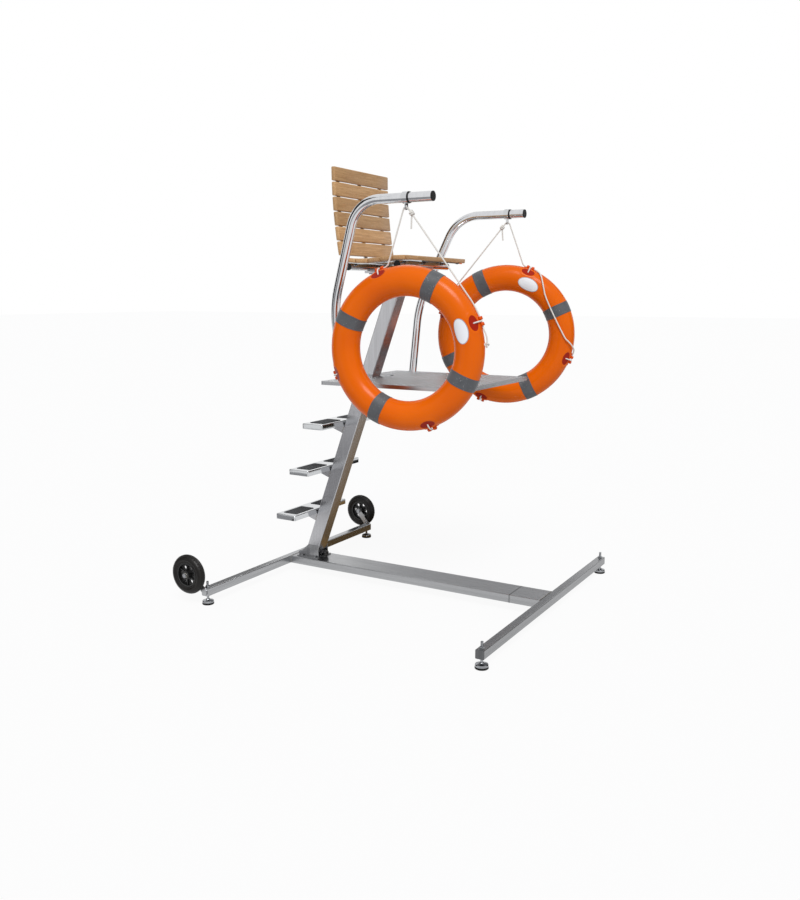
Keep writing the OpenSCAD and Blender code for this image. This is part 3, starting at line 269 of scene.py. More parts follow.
# Base beam, stub and cross bars
# Cold-drawn rectangular stainless tube, saw-cut and welded. Its satin surface was
# ground along its length, so it has fine lines and soft, long reflections.
def stainless(name, roughness, line, depth, along, grey, dark):
    """Stainless steel with grinding lines of a real spacing, drawn out along an axis."""
    material, tree, surface, place = start_material(name, roughness, metallic=1.0)
    # The tone drifts in streaks some 14 mm wide: partly the rolls' own marks and partly painted
    # reflection, the darker streaks standing for dark surroundings mirrored in the steel
    fine, broad, axis = [1 / line] * 3, [70.0] * 3, "XYZ".index(along)
    fine[axis], broad[axis] = 1 / (line * 160), 2.0
    mapped = add_node(tree, "ShaderNodeMapping", {"Scale": fine}, {"Vector": place})
    lines = add_node(tree, "ShaderNodeTexNoise", {"Scale": 1.0, "Detail": 3.0},
                     {"Vector": mapped.outputs["Vector"]})
    rolled = add_node(tree, "ShaderNodeMapping", {"Scale": broad}, {"Vector": place})
    roll_and_reflection_streaks = add_node(tree, "ShaderNodeTexNoise", {"Scale": 1.0, "Detail": 4.0},
                       {"Vector": rolled.outputs["Vector"]})
    tone = add_node(tree, "ShaderNodeMix", {"data_type": "RGBA", 6: srgb(dark), 7: srgb(grey)},
                    {0: roll_and_reflection_streaks.outputs["Fac"]})
    tree.links.new(tone.outputs[2], surface.inputs["Base Color"])
    spread = add_node(tree, "ShaderNodeMapRange", {"To Min": roughness * 0.75,
                                                   "To Max": roughness * 1.3},
                      {"Value": lines.outputs["Fac"]})
    tree.links.new(spread.outputs["Result"], surface.inputs["Roughness"])
    if depth:
        raised = add_node(tree, "ShaderNodeBump", {"Strength": 0.5, "Distance": depth},
                          {"Height": lines.outputs["Fac"]})
        tree.links.new(raised.outputs["Normal"], surface.inputs["Normal"])
    return material


def finish(material, *names):
    """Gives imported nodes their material. Their smooth shading comes with them."""
    for node in (frame["nodes"][name] for name in names):
        if not node.material_slots:
            node.data.materials.append(material)
        for place in node.material_slots:
            place.link = "OBJECT"
            place.material = material


# Lines 0.6 mm apart stand for the real ones, which are too fine to show
satin_along_x = stainless("stainless_ground_lengthways", 0.28, 0.0006, 0.00004, "X",
                          "#BBBCBE", "#909193")
finish(satin_along_x, "centre_beam", "front_stub")
finish(stainless("stainless_ground_crossways", 0.24, 0.0006, 0.00004, "Y",
                 "#BCBDBF", "#8E8F91"), "rear_cross_bar")
# The front bar is a darker copy of the ground steel, painted reflection for the dark
# surroundings its faces mirror, and its end caps are darker still
finish(stainless("stainless_ground_painted_dark", 0.26, 0.0006, 0.00004, "Y",
                 "#A2A3A5", "#747577"), "front_cross_bar")
finish(stainless("stainless_sheet_unpolished", 0.30, 0.0008, 0.00004, "Z",
                 "#7C7D7F", "#4A4B4D"), "bar_end_caps")


# Weld seams of the base
# TIG welds in bright stainless: low rippled beads where the beam and stub meet the
# cross bars, laid on the tubes' top and side faces.
def weld_bead(points, radius):
    """A bead along a line of points, rippled every 3.4 mm and thinner at its ends."""
    route = smooth_route(points, 0.0011)
    rings, gone = [], 0.0
    for i, point in enumerate(route):
        gone += (point - route[i - 1]).length if i else 0.0
        ahead = (route[min(i + 1, len(route) - 1)] - route[max(i - 1, 0)]).normalized()
        side = ahead.orthogonal().normalized()
        other = ahead.cross(side)
        taper = min(1.0, 0.35 + min(i, len(route) - 1 - i) * 0.25)
        grown = radius * taper * (0.9 + 0.18 * abs(sin(pi * gone / 0.0034)))
        rings.append([point + grown * (c * side + s * other) for c, s in circle(10)])
    return loft(rings)


weld_steel = stainless("tig_weld_bead", 0.28, 0.002, 0.0, "Z", "#B9B6B0", "#8F8A84")
BAR_TOP, BAR_MID, BAR_LOW, BAR_HALF, BARS_APART = 0.085, 0.065, 0.045, 0.020, 1.5
BEAM_HALF, SEAM_IN, SEAM_R = 0.079, 0.005, 0.0021
seams = []
for x in (REAR_X + BAR_HALF, REAR_X + BARS_APART - BAR_HALF):
    seams.append(weld_bead([(x, y, BAR_TOP) for y in
                            (-BEAM_HALF + SEAM_IN, 0, BEAM_HALF - SEAM_IN)], SEAM_R))
    for y in (-BEAM_HALF, BEAM_HALF):
        seams.append(weld_bead([(x, y, z) for z in
                                (BAR_LOW + SEAM_IN, BAR_MID, BAR_TOP - SEAM_IN)], SEAM_R))
add_piece("base_weld_seams", seams, weld_steel, "base")


# Levelling feet
# Screw feet of turned and chromed steel on a moulded rubber sole, each with a rolled M12
# thread and a lock nut. Bright, with a haze in patches of some 17 mm.
chrome, tree, surface, place = start_material("chromed_steel", 0.12, metallic=1.0)
haze = add_node(tree, "ShaderNodeTexNoise", {"Scale": 60.0, "Detail": 4.0}, {"Vector": place})
spread = add_node(tree, "ShaderNodeMapRange", {"To Min": 0.06, "To Max": 0.2},
                  {"Value": haze.outputs["Fac"]})
tree.links.new(spread.outputs["Result"], surface.inputs["Roughness"])
tone = add_node(tree, "ShaderNodeMix", {"data_type": "RGBA", 6: srgb("#77797C"),
                                        7: srgb("#ABADB0")}, {0: haze.outputs["Fac"]})
tree.links.new(tone.outputs[2], surface.inputs["Base Color"])


def rubber(name, colour, wear_and_glints, grit, rough, shine=0.18):
    """Moulded rubber: dull, with a grain of a real size and dust in patches of 70 mm."""
    return mottled(name, rough, colour, wear_and_glints, (14.0, 5.0), (1 / grit, 3.0, 0.35, grit / 6),
                   Specular_IOR_Level=shine)


sole_rubber = rubber("moulded_rubber_sole", "#0E0E0E", "#1F1E1D", 0.0015, 0.5)

# The spindles' rolled thread shows above the neck of the plate. Its ridges don't stand
# proud, as they run through the nuts when a foot is turned.
THREAD_PITCH, THREAD_DEEP, NECK_TOP = 0.00175, 0.0006, 0.042
threaded = chrome.copy()
threaded.name = "chromed_steel_thread"
tree = threaded.node_tree
place = add_node(tree, "ShaderNodeTexCoord").outputs["Object"]
height = add_node(tree, "ShaderNodeSeparateXYZ", links={0: place}).outputs["Z"]
above_neck = add_node(tree, "ShaderNodeMath", {"operation": "GREATER_THAN", 1: NECK_TOP},
                      {0: height})
ridges = add_node(tree, "ShaderNodeTexWave", {"bands_direction": "Z", "wave_profile": "TRI",
                                              "Scale": 2 * pi / 20 / THREAD_PITCH},
                  {"Vector": place})
thread = add_node(tree, "ShaderNodeMath", {"operation": "MULTIPLY"},
                  {0: ridges.outputs["Fac"], 1: above_neck.outputs[0]})
raised = add_node(tree, "ShaderNodeBump", {"Strength": 0.7, "Distance": THREAD_DEEP},
                  {"Height": thread.outputs[0]})
tree.links.new(raised.outputs["Normal"], tree.nodes["Principled BSDF"].inputs["Normal"])
for name in ("front_left", "front_right", "rear_left", "rear_right"):
    finish(threaded, f"foot_spindle_{name}")
    finish(sole_rubber, f"foot_sole_{name}")
finish(chrome, "foot_bushes", "lock_nuts")


# Painted shadow at the spigot joint
# A thin ring in the black rubber material, pinched where the front stub is pushed into the beam.
# It stands 0.4 mm proud and is painted shadow: a dark line across the beam for the shade in the
# joint's gap.
def rounded_outline(half_a, half_b, radius, count=4):
    """(a, b) points of a rectangle with rounded corners and its middle at zero."""
    points = []
    for sa, sb, start in ((1, 1, 0), (-1, 1, 90), (-1, -1, 180), (1, -1, 270)):
        for k in range(count + 1):
            angle = radians(start + 90 * k / count)
            points.append((sa * (half_a - radius) + radius * cos(angle),
                           sb * (half_b - radius) + radius * sin(angle)))
    return points


low, high = (Vector(p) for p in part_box("centre_beam"))
middle, half, BEAM_CORNER = (low + high) / 2, (high - low) / 2, 0.003
shadow_line_rings = []
for x, proud in ((-0.0019, -0.001), (-0.0014, 0.0004), (0.0014, 0.0004), (0.0019, -0.001)):
    shadow_line_rings.append([Vector((high.x + x, y, middle.z + z)) for y, z in
                   rounded_outline(half.y + proud, half.z + proud, BEAM_CORNER + proud)])
add_piece("spigot_painted_shadow", [loft(shadow_line_rings)], sole_rubber, "base")


# Wheel arms and axles
# Flat stainless bar with both ends rounded, welded to the plugs of the rear bar. The
# axles are chromed bolts with round heads.
finish(satin_along_x, "wheel_arm_left", "wheel_arm_right")
finish(chrome, "wheel_axles")


# Tyres
# Solid black rubber, moulded with a rounded tread of three grooves, cross slots and a
# ring on each sidewall. Dull, and greyer where it is dusty.
def on_axle(side):
    """Matrix from a wheel's own frame, with its axle along Z, to the chair."""
    low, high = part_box(f"rim_{SIDE[side]}")
    return (Matrix.Translation((Vector(low) + Vector(high)) / 2)
            @ Matrix.Rotation(-side * pi / 2, 4, "X"))


def revolve(profile, count, cut):
    """Turns a closed profile of (radius, height) points about Z; cut changes it at a step."""
    rings = []
    for i, (c, s) in enumerate(circle(count)):
        rings.append([Vector((r * c, r * s, z)) for r, z in cut(profile, i)])
    return loft(rings, round_trip=True)


TYRE_R, TYRE_HALF, RIM_R = 0.098, 0.023, 0.059
GROOVE_DEEP, SLOT_DEEP, TREAD_EDGE = 0.0022, 0.0016, 0.006
tyre_rubber = rubber("moulded_tyre_rubber", "#0B0A09", "#1F1C1A", 0.0012, 0.38, shine=0.25)
arc = []
for k in range(25):
    angle = radians(-90 + 7.5 * k)
    groove = GROOVE_DEEP if k in (9, 12, 15) else 0.0
    arc.append((TYRE_R - TYRE_HALF + TYRE_HALF * cos(angle) - groove, TYRE_HALF * sin(angle)))
sidewall = [(RIM_R + 0.0004, 0.018), (RIM_R + 0.004, 0.0195), (RIM_R + 0.008, 0.0188),
            (RIM_R + 0.010, 0.0205)]
tyre_profile = [(r, -z) for r, z in sidewall] + arc + sidewall[::-1]


def slotted(profile, i):
    """Every fourth step of the tread is cut by a cross slot on either side of its middle."""
    depth = 0.0 if i % 4 else SLOT_DEEP
    return [(r - depth if r > TYRE_R - TREAD_EDGE and abs(z) > TREAD_EDGE else r, z)
            for r, z in profile]


for side in (-1, 1):
    tyre = add_piece(f"tyre_tread_{SIDE[side]}", [revolve(tyre_profile, 144, slotted)],
                     tyre_rubber, f"wheel_{SIDE[side]}", sharp=30,
                     place=on_axle(side))
    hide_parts(f"tyre_{SIDE[side]}")


# Rims
# Black polypropylene, injection moulded: a dished web with six holes, six ribs on each
# face and a bearing bush in the hub. Slightly glossy, with a fine moulded grain.
def moulded_plastic(name, colour, other, rough, shine=0.5):
    """Injection-moulded plastic: even over 140 mm, with a soft gloss and a 1.2 mm grain."""
    return mottled(name, rough, colour, other, (7.0, 3.0), (1 / 0.0012, 2.0, 0.2, 0.0001),
                   Specular_IOR_Level=shine)


rim_plastic = moulded_plastic("polypropylene_black", "#0C0C0C", "#181818", 0.32)
bush_plastic = moulded_plastic("acetal_bush", "#D8D4C6", "#E4E0D2", 0.35)


# A rib runs from the hub to the rim and stands on the web
RIB_FROM, RIB_TO, RIB_HALF, RIB_FOOT, RIB_TOP = 0.0215, 0.0535, 0.002, 0.0045, 0.0125
RIB_BEVEL = 0.0012


def rib_shape():
    """A rib with its upright edges and its top edges chamfered."""
    levels = []
    for z, inset in ((RIB_FOOT, 0), (RIB_TOP - RIB_BEVEL, 0), (RIB_TOP, RIB_BEVEL * 0.8)):
        a, b, c = RIB_FROM + inset, RIB_TO - inset, RIB_HALF - inset
        e, f = c - RIB_BEVEL, RIB_BEVEL
        levels.append([Vector((x, y, z)) for x, y in (
            (a + f, -c), (b - f, -c), (b, -e), (b, e), (b - f, c), (a + f, c), (a, e), (a, -e))])
    return loft(levels)


for side in (-1, 1):
    finish(rim_plastic, f"rim_{SIDE[side]}")
    finish(bush_plastic, f"bearing_{SIDE[side]}")
    ribs = []
    for face in (1, -1):
        for i in range(6):
            points, faces = rib_shape()
            turn = Matrix.Rotation(2 * pi * (i + 0.5) / 6, 4, "Z")
            flip = Matrix.Diagonal((1, 1, face, 1))
            ribs.append(([turn @ flip @ p for p in points], faces))
    add_piece(f"rim_ribs_{SIDE[side]}", ribs, rim_plastic,
              f"wheel_{SIDE[side]}", place=on_axle(side))


# Mast shoe, hinge pin and bolts
# The shoe is welded from laser-cut stainless plate and bolted to the beam. The pin and
# the bolts are of chromed steel.
# The foot plate is painted dark: painted shade and painted reflection, for the shadow and dark
# surroundings it shows at the mast's foot
finish(stainless("stainless_plate_painted_dark", 0.28, 0.0008, 0.00004, "Z",
                 "#77777A", "#404042"), "mast_foot")
# The shoe's cheeks were brushed after cutting and are as light as the mast
finish(stainless("stainless_plate_brushed", 0.24, 0.0006, 0.00004, "Z",
                 "#B2B2B4", "#77787A"), "mast_shoe")
finish(chrome, "hinge_pin", "shoe_bolts", "knob_screw")


# Latch knob
# A black star knob, moulded in glass-filled nylon over a steel insert, with rounded
# lobes and a shallow dish in its face.
knob_low, knob_high = (Vector(p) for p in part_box("knob_grip"))
knob_nylon = moulded_plastic("glass_filled_nylon", "#131313", "#1D1D1D", 0.42)
KNOB_R = 0.019
knob_rings = []
for x, share in ((0.0, 0.50), (0.0035, 0.52), (0.0042, 0.86), (0.0065, 0.97), (0.0110, 1.0),
                 (0.0160, 0.97), (0.0188, 0.86), (0.0198, 0.66), (0.0196, 0.40),
                 (0.0186, 0.22)):
    ring = []
    for k in range(72):
        angle = 2 * pi * k / 72
        lobe = 1 - 0.19 * (0.5 - 0.5 * cos(6 * angle + pi)) ** 1.4 * (share > 0.6)
        ring.append(Vector((x, KNOB_R * share * lobe * cos(angle),
                            KNOB_R * share * lobe * sin(angle))))
    knob_rings.append(ring)
knob = add_piece("star_knob", [loft(knob_rings)], knob_nylon, "latch_knob",
                 sharp=50, place=Matrix.Translation((knob_low.x, 0,
                                                     (knob_low.z + knob_high.z) / 2)))
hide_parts("knob_grip")


# Mast
# Rectangular stainless tube, 80 by 72 mm, with a satin ground finish along its length,
# cut at an angle and welded to its foot and head plates.
mast_steel = stainless("stainless_ground_upright", 0.22, 0.0006, 0.00004, "Z",
                       "#C6C6C9", "#ACACAF")
finish(mast_steel, "mast_tube", "mast_head")


# Treads
# Each is folded from 3 mm stainless sheet and polished: a shallow tray turned upside
# down, with rounded edges that catch the light.
polished = stainless("stainless_polished", 0.10, 0.0015, 0.0, "X", "#D3D5D7", "#C4C6C8")


def level_outline(low, high, inset, corner, z):
    """A level rounded rectangle, drawn in from low and high by inset."""
    middle, half = (low + high) / 2, (high - low) / 2
    radius = max(corner - inset, 0.0006)
    return [Vector((middle.x + x, middle.y + y, z)) for x, y in
            rounded_outline(half.x - inset, half.y - inset, radius, count=5)]


def folded_tray(low, high, corner, sheet, edge):
    """A sheet with its four edges folded down and rounded to the radius edge."""
    rings = [level_outline(low, high, inset, corner, z) for inset, z in
             [(edge + 0.004, high.z)]
             + [(edge * (1 - sin(radians(a))), high.z - edge * (1 - cos(radians(a))))
                for a in (0, 22.5, 45, 67.5, 90)]
             + [(0, low.z + 0.0008), (0.0008, low.z), (sheet - 0.0008, low.z),
                (sheet, low.z + 0.0008), (sheet, high.z - sheet - 0.001),
                (sheet + 0.001, high.z - sheet), (sheet + 0.01, high.z - sheet)]]
    return loft(rings)


TREAD_CORNER, TREAD_SHEET, TREAD_FOLD = 0.008, 0.003, 0.004
for i in (1, 2, 3):
    low, high = (Vector(p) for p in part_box(f"tread_{i}"))
    tray = folded_tray(low, high, TREAD_CORNER, TREAD_SHEET, TREAD_FOLD)
    tread = add_piece(f"tread_sheet_{i}", [tray], polished, "mast", sharp=40)
    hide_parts(f"tread_{i}")


# Tread brackets
# A web plate and two gusset cheeks under each tread, cut from 4 mm sheet and welded to
# the rear face of the mast.
finish(mast_steel, "tread_brackets")
# The mast's middle line starts at MAST_X, MAST_Z and leans back
LEAN, MAST_X, MAST_Z, MAST_HALF = radians(20.25), REAR_X + 0.126, 0.0975, 0.036
GUSSET_Y, GUSSET_SEAM_R = 0.038, 0.0022
beads = []
for i in (1, 2, 3):
    low, high = (Vector(p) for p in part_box(f"tread_{i}"))
    for y in (-GUSSET_Y, GUSSET_Y):
        path = []
        for z in (low.z - 0.036, low.z - 0.020, low.z - 0.005):
            x = MAST_X + (z - MAST_Z) * tan(LEAN) - MAST_HALF / cos(LEAN)
            path.append((x - 0.001, y, z))
        beads.append(weld_bead(path, GUSSET_SEAM_R))
add_piece("bracket_weld_seams", beads, weld_steel, "mast")


# Grip pads
# Anti-slip mineral grit on a thin backing that is stuck on the treads. Dark grey and
# dull, with bright grains, which are drawn 2.2 mm apart as finer ones wouldn't show.
grit_pad, tree, surface, place = start_material("mineral_grit_pad", 0.92)
GRAIN = 0.0022
grains = add_node(tree, "ShaderNodeTexVoronoi", {"Scale": 1 / GRAIN}, {"Vector": place})
tones = add_node(tree, "ShaderNodeValToRGB", links={"Fac": grains.outputs["Distance"]})
tones.color_ramp.elements[0].color = srgb("#5B5C5E")
tones.color_ramp.elements[0].position = 0.1
tones.color_ramp.elements[1].color = srgb("#2B2C2E")
tones.color_ramp.elements[1].position = 0.55
tree.links.new(tones.outputs["Color"], surface.inputs["Base Color"])
raised = add_node(tree, "ShaderNodeBump", {"Strength": 0.9, "Distance": 0.0006,
                                           "invert": True},
                  {"Height": grains.outputs["Distance"]})
tree.links.new(raised.outputs["Normal"], surface.inputs["Normal"])
finish(grit_pad, "grip_pads")


# Platform
# Chequer plate, 4 mm stainless with a rolled pattern of raised bars in two directions,
# folded down at its edges. Two box bearers and bolts hold it to the mast.
finish(stainless("stainless_chequer_plate", 0.26, 0.001, 0.00003, "X",
                 "#C6C7C9", "#97989B"), "platform")
finish(satin_along_x, "platform_bearers")
finish(chrome, "frame_bolts")
low, high = (Vector(p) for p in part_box("platform"))
PITCH, BAR_LONG, BAR_WIDE, BAR_HIGH, MARGIN = 0.024, 0.0100, 0.0034, 0.0017, 0.016
# The bars leave room for the mast, the four bolts and the feet of the arm tubes: each has
# its middle and its half sizes
mast_mid = MAST_X + (high.z - MAST_Z) * tan(LEAN)
BOLT_Y, ARM_Y = 0.055, 0.3378
bolt_x = (mast_mid + 0.0984, low.x + 0.586)
keep_clear = ([(mast_mid, 0, 0.050, 0.048)]
              + [(x, y, 0.018, 0.018) for x in bolt_x for y in (-BOLT_Y, BOLT_Y)]
              + [(low.x + 0.113, y, 0.032, 0.032) for y in (-ARM_Y, ARM_Y)])
bars = []
for i in range(-16, 17):
    for j in range(-15, 16):
        x, y = (low.x + high.x) / 2 + i * PITCH, j * PITCH
        if not (low.x + MARGIN < x < high.x - MARGIN and low.y + MARGIN < y < high.y - MARGIN):
            continue
        if any(abs(x - cx) < rx and abs(y - cy) < ry for cx, cy, rx, ry in keep_clear):
            continue
        slant = radians(45 if (i + j) % 2 else -45)
        along = Vector((cos(slant), sin(slant), 0))
        across = Vector((-sin(slant), cos(slant), 0))
        rings = []
        for z, share in ((-0.0001, 1.0), (BAR_HIGH * 0.7, 0.78), (BAR_HIGH, 0.45)):
            rings.append([Vector((x, y, high.z + z))
                          + share * (BAR_LONG * c * along + BAR_WIDE * s * across)
                          for c, s in circle(10)])
        bars.append(loft(rings))
# Shoes have rubbed the bars brighter than the plate between them
rubbed_steel = stainless("stainless_rubbed_bright", 0.12, 0.001, 0.0, "X", "#E2E3E5", "#BCBDBF")
add_piece("platform_raised_bars", bars, rubbed_steel, "mast", sharp=60)


# Arm tubes and rope collars
# Bent from 42 mm stainless tube and mirror polished, with a black rubber plug in each
# tip. A turned collar with the rope's eye sits on each, and a rubber ring stops it.
finish(stainless("stainless_mirror_polished", 0.10, 0.004, 0.0, "Z", "#E0E1E3", "#C6C7CA"),
       "arm_tube_left", "arm_tube_right")
finish(polished, "rope_collar_left", "rope_collar_right")
finish(rubber("moulded_rubber_plug", "#191919", "#232323", 0.001, 0.5), "arm_end_plugs",
       "seat_tube_caps", "collar_stops")


# Seat frame
# Three straps of bent flat bar, welded to two cross tubes that sit in the saddles of
# the head plate. Pan-head screws come up through the straps into the slats.
finish(polished, "seat_frame")
finish(chrome, "slat_screws")


# Slats
# Twelve slats of oiled hardwood, planed and rounded over on every edge. The grain runs
# along each slat, and each one has a slightly different tone.
wood, tree, surface, place = start_material("oiled_hardwood", 0.48, Coat_Weight=0.25,
                                            Coat_Roughness=0.35)
plank = add_node(tree, "ShaderNodeNewGeometry").outputs["Random Per Island"]
shifted = add_node(tree, "ShaderNodeVectorMath", {"operation": "SCALE", "Scale": 3.0},
                   {0: add_node(tree, "ShaderNodeCombineXYZ",
                                links={"X": plank, "Y": plank, "Z": plank}).outputs[0]})
moved = add_node(tree, "ShaderNodeVectorMath", {"operation": "ADD"},
                 {0: place, 1: shifted.outputs[0]})
# Year rings show as bands 6 mm apart, drawn out along the slat, and the tone wanders
# over 50 mm
grown = add_node(tree, "ShaderNodeMapping", {"Scale": (1.0, 0.05, 1.0)},
                 {"Vector": moved.outputs[0]})
wander = add_node(tree, "ShaderNodeTexNoise", {"Scale": 20.0, "Detail": 4.0},
                  {"Vector": grown.outputs["Vector"]})
bands = add_node(tree, "ShaderNodeTexNoise", {"Scale": 1 / 0.006, "Detail": 3.0,
                                              "Distortion": 0.6},
                 {"Vector": grown.outputs["Vector"]})
# Pores are dashes 0.5 mm wide
pores_at = add_node(tree, "ShaderNodeMapping", {"Scale": (2000.0, 60.0, 2000.0)},
                    {"Vector": moved.outputs[0]})
pores = add_node(tree, "ShaderNodeTexNoise", {"Scale": 1.0, "Detail": 2.0},
                 {"Vector": pores_at.outputs["Vector"]})
grain = add_node(tree, "ShaderNodeValToRGB", links={"Fac": bands.outputs["Fac"]})
grain.color_ramp.elements[0].color = srgb("#B0824F")
grain.color_ramp.elements[0].position = 0.32
grain.color_ramp.elements[1].color = srgb("#E4BC88")
grain.color_ramp.elements[1].position = 0.66
warm = add_node(tree, "ShaderNodeMix", {"data_type": "RGBA", 7: srgb("#C79A66")},
                {0: wander.outputs["Fac"], 6: grain.outputs["Color"]})
tinted = add_node(tree, "ShaderNodeHueSaturation", links={"Color": warm.outputs[2]})
tone = add_node(tree, "ShaderNodeMapRange", {"To Min": 0.82, "To Max": 1.12}, {"Value": plank})
tree.links.new(tone.outputs["Result"], tinted.inputs["Value"])
dark_pores = add_node(tree, "ShaderNodeMapRange", {"From Min": 0.36, "From Max": 0.5,
                                                   "To Min": 0.72, "To Max": 1.0},
                      {"Value": pores.outputs["Fac"]})
final = add_node(tree, "ShaderNodeVectorMath", {"operation": "SCALE"},
                 {0: tinted.outputs["Color"], "Scale": dark_pores.outputs["Result"]})
tree.links.new(final.outputs[0], surface.inputs["Base Color"])
raised = add_node(tree, "ShaderNodeBump", {"Strength": 0.35, "Distance": 0.0002},
                  {"Height": pores.outputs["Fac"]})
tree.links.new(raised.outputs["Normal"], surface.inputs["Normal"])

SLATS, SLAT_T, SLAT_GAP, STRAP_T, SLAT_HALF, SLAT_EDGE = 6, 0.020, 0.006, 0.005, 0.2439, 0.004
SEAT_X0, SEAT_TOP = -0.17925, 1.678
STRAP_Z0 = SEAT_TOP - SLAT_T - STRAP_T / 2
SEAT_LEN, WAVE, BACK_H, BACK_SET, BEND = 0.410, 0.007, 0.421, 0.038, 0.030


def seat_point(i):
    """The strap's middle line under the seat, at the edge of slat i."""
    return Vector((SEAT_X0 + SEAT_LEN * i / SLATS, 0, STRAP_Z0 - WAVE * sin(2 * pi * i / SLATS)))


def back_point(i):
    """The strap's middle line up the back, at the edge of slat i."""
    u = i / SLATS
    return Vector((SEAT_X0 - BEND - BACK_SET * (2 * u - u * u), 0, STRAP_Z0 + BEND + BACK_H * u))


def slat_shape(a, b):
    """A slat on the stretch of strap from a to b, rounded over on all its edges."""
    along = (b - a).normalized()
    up = Vector((-along.z, 0, along.x))
    middle = (a + b) / 2 + up * (STRAP_T / 2 + SLAT_T / 2)
    half_w, half_t = ((b - a).length - SLAT_GAP) / 2, SLAT_T / 2
    rings = []
    end = [(SLAT_HALF, 0.0022), (SLAT_HALF - 0.0011, 0.0007), (SLAT_HALF - 0.0029, 0.0),
           (0.12, 0.0)]
    for y, inset in [(-y, inset) for y, inset in end] + [(0.0, 0.0)] + end[::-1]:
        outline = rounded_outline(half_w - inset, half_t - inset, SLAT_EDGE)
        rings.append([middle + Vector((0, y, 0)) + along * w + up * t for w, t in outline])
    return loft(rings)


seat = [slat_shape(seat_point(i), seat_point(i + 1)) for i in range(SLATS)]
back = [slat_shape(back_point(i + 1), back_point(i)) for i in range(SLATS)]
for name, boards in (("seat", seat), ("back", back)):
    piece = add_piece(f"{name}_slat_boards", boards, wood, "mast", sharp=50)
    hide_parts(f"{name}_slats")


# Life ring shells
# Rotomoulded orange polyethylene over foam, 0.72 m across. The skin is smooth and
# half glossy with a faint orange-peel of 4 mm, and the mould's parting line runs round.
ring_orange = mottled("rotomoulded_polyethylene", 0.24, "#DA5900", "#EC6C00", (5.0, 3.0),
                      (1 / 0.004, 2.0, 0.12, 0.0006), Specular_IOR_Level=0.15)

# The ring's middle line, and the two radii and the flat that make its section
RING_MID, RING_ROUND, RING_FLAT = 0.294, 0.058, 0.008
RING_STEPS, SECTION_STEPS, PARTING_PROUD = 360, 96, 0.0005
# Each ring's middle below its eye, the first lug and the lugs' place on the section
DROP = {1: 0.573, -1: 0.600}
LUG_START, LUG_FACING, LUG_RADIUS = 20, radians(40), 0.34
HOLLOW_LONG, HOLLOW_WIDE, HOLLOW_DEEP, HOLLOW_RIM = 0.038, 0.022, 0.008, 0.0016


def in_ring(side):
    """Matrix from a ring's own frame, with the ring's axis along Z, to the chair."""
    return (at_eye(side) @ Matrix.Translation((0, 0, -DROP[side]))
            @ Matrix.Rotation(pi / 2, 4, "X"))


def add_ring_piece(name, shapes, material, side, sharp=60):
    """Adds a piece in its ring's own frame, which moves with that ring."""
    return add_piece(f"{name}_{SIDE[side]}", shapes, material, f"ring_{SIDE[side]}",
                     sharp=sharp, place=in_ring(side))


def ring_section(angle, grow=0.0):
    """(radius, height) on the ring's section; angle 0 points outward from its middle."""
    return (RING_MID + (RING_FLAT + RING_ROUND + grow) * cos(angle),
            (RING_ROUND + grow) * sin(angle))


def recess(turn, angle):
    """Depth of the moulded hollow beside each rope lug, which has a low swollen rim."""
    away = (turn - radians(LUG_START) + pi / 4) % (pi / 2) - pi / 4
    reach = hypot(away * LUG_RADIUS / HOLLOW_LONG,
                  (angle - LUG_FACING) * RING_ROUND / HOLLOW_WIDE)
    hollow = HOLLOW_DEEP * (1 - reach * reach) ** 2 if reach < 1 else 0.0
    return hollow - HOLLOW_RIM * exp(-((reach - 1.12) / 0.16) ** 2)


def ring_point(turn, angle, grow=0.0):
    r, z = ring_section(angle, grow - recess(turn, angle))
    return Vector((r * cos(turn), r * sin(turn), z))


for side in (-1, 1):
    rings = []
    for i in range(RING_STEPS):
        turn = 2 * pi * i / RING_STEPS
        # The parting line stands proud all round the outer edge, at k = 0
        rings.append([ring_point(turn, 2 * pi * k / SECTION_STEPS,
                                 0.0 if k else PARTING_PROUD) for k in range(SECTION_STEPS)])
    shell = add_ring_piece("ring_shell", [loft(rings, round_trip=True)], ring_orange,
                           side)
    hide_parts(f"life_ring_{SIDE[side]}")


# Reflective bands
# Grey woven tape with glass beads, wrapped round the ring and sewn shut, with a raised
# selvedge along both edges. It looks flat grey by day, and its weave shows at 1.8 mm.
tape = mottled("reflective_woven_tape", 0.55, "#3D3F43", "#5B5D60", (24.0, 5.0),
               (1 / 0.0018, 2.0, 0.4, 0.0003), Sheen_Weight=0.2)
# Pale patches some 8 mm long are painted glints, for light caught on the tape's creases
tree = tape.node_tree
base_colour = tree.nodes["Principled BSDF"].inputs["Base Color"]
place = add_node(tree, "ShaderNodeTexCoord").outputs["Object"]
glint_noise = add_node(tree, "ShaderNodeTexNoise", {"Scale": 1 / 0.016, "Detail": 5.0,
                                               "Distortion": 2.5}, {"Vector": place})
painted_glints = add_node(tree, "ShaderNodeMapRange", {"From Min": 0.65, "From Max": 0.72,
                                              "To Max": 0.6}, {"Value": glint_noise.outputs["Fac"]})
wear_and_glints = add_node(tree, "ShaderNodeMix", {"data_type": "RGBA", 7: srgb("#B9BBBE")},
                {0: painted_glints.outputs["Result"], 6: base_colour.links[0].from_socket})
tree.links.new(wear_and_glints.outputs[2], base_colour)

# Half of a band's 62 mm, as an angle at the ring's outer edge
BAND_START, BAND_HALF = 65, 0.031 / (RING_MID + RING_FLAT + RING_ROUND)
# Across the band: its place from edge to edge and how far it stands proud
SELVEDGED = ((-1, 0.0003), (-1, 0.0014), (-0.9, 0.0018), (-0.8, 0.0012), (-0.4, 0.0013),
             (0, 0.0014), (0.4, 0.0013), (0.8, 0.0012), (0.9, 0.0018), (1, 0.0014), (1, 0.0003))
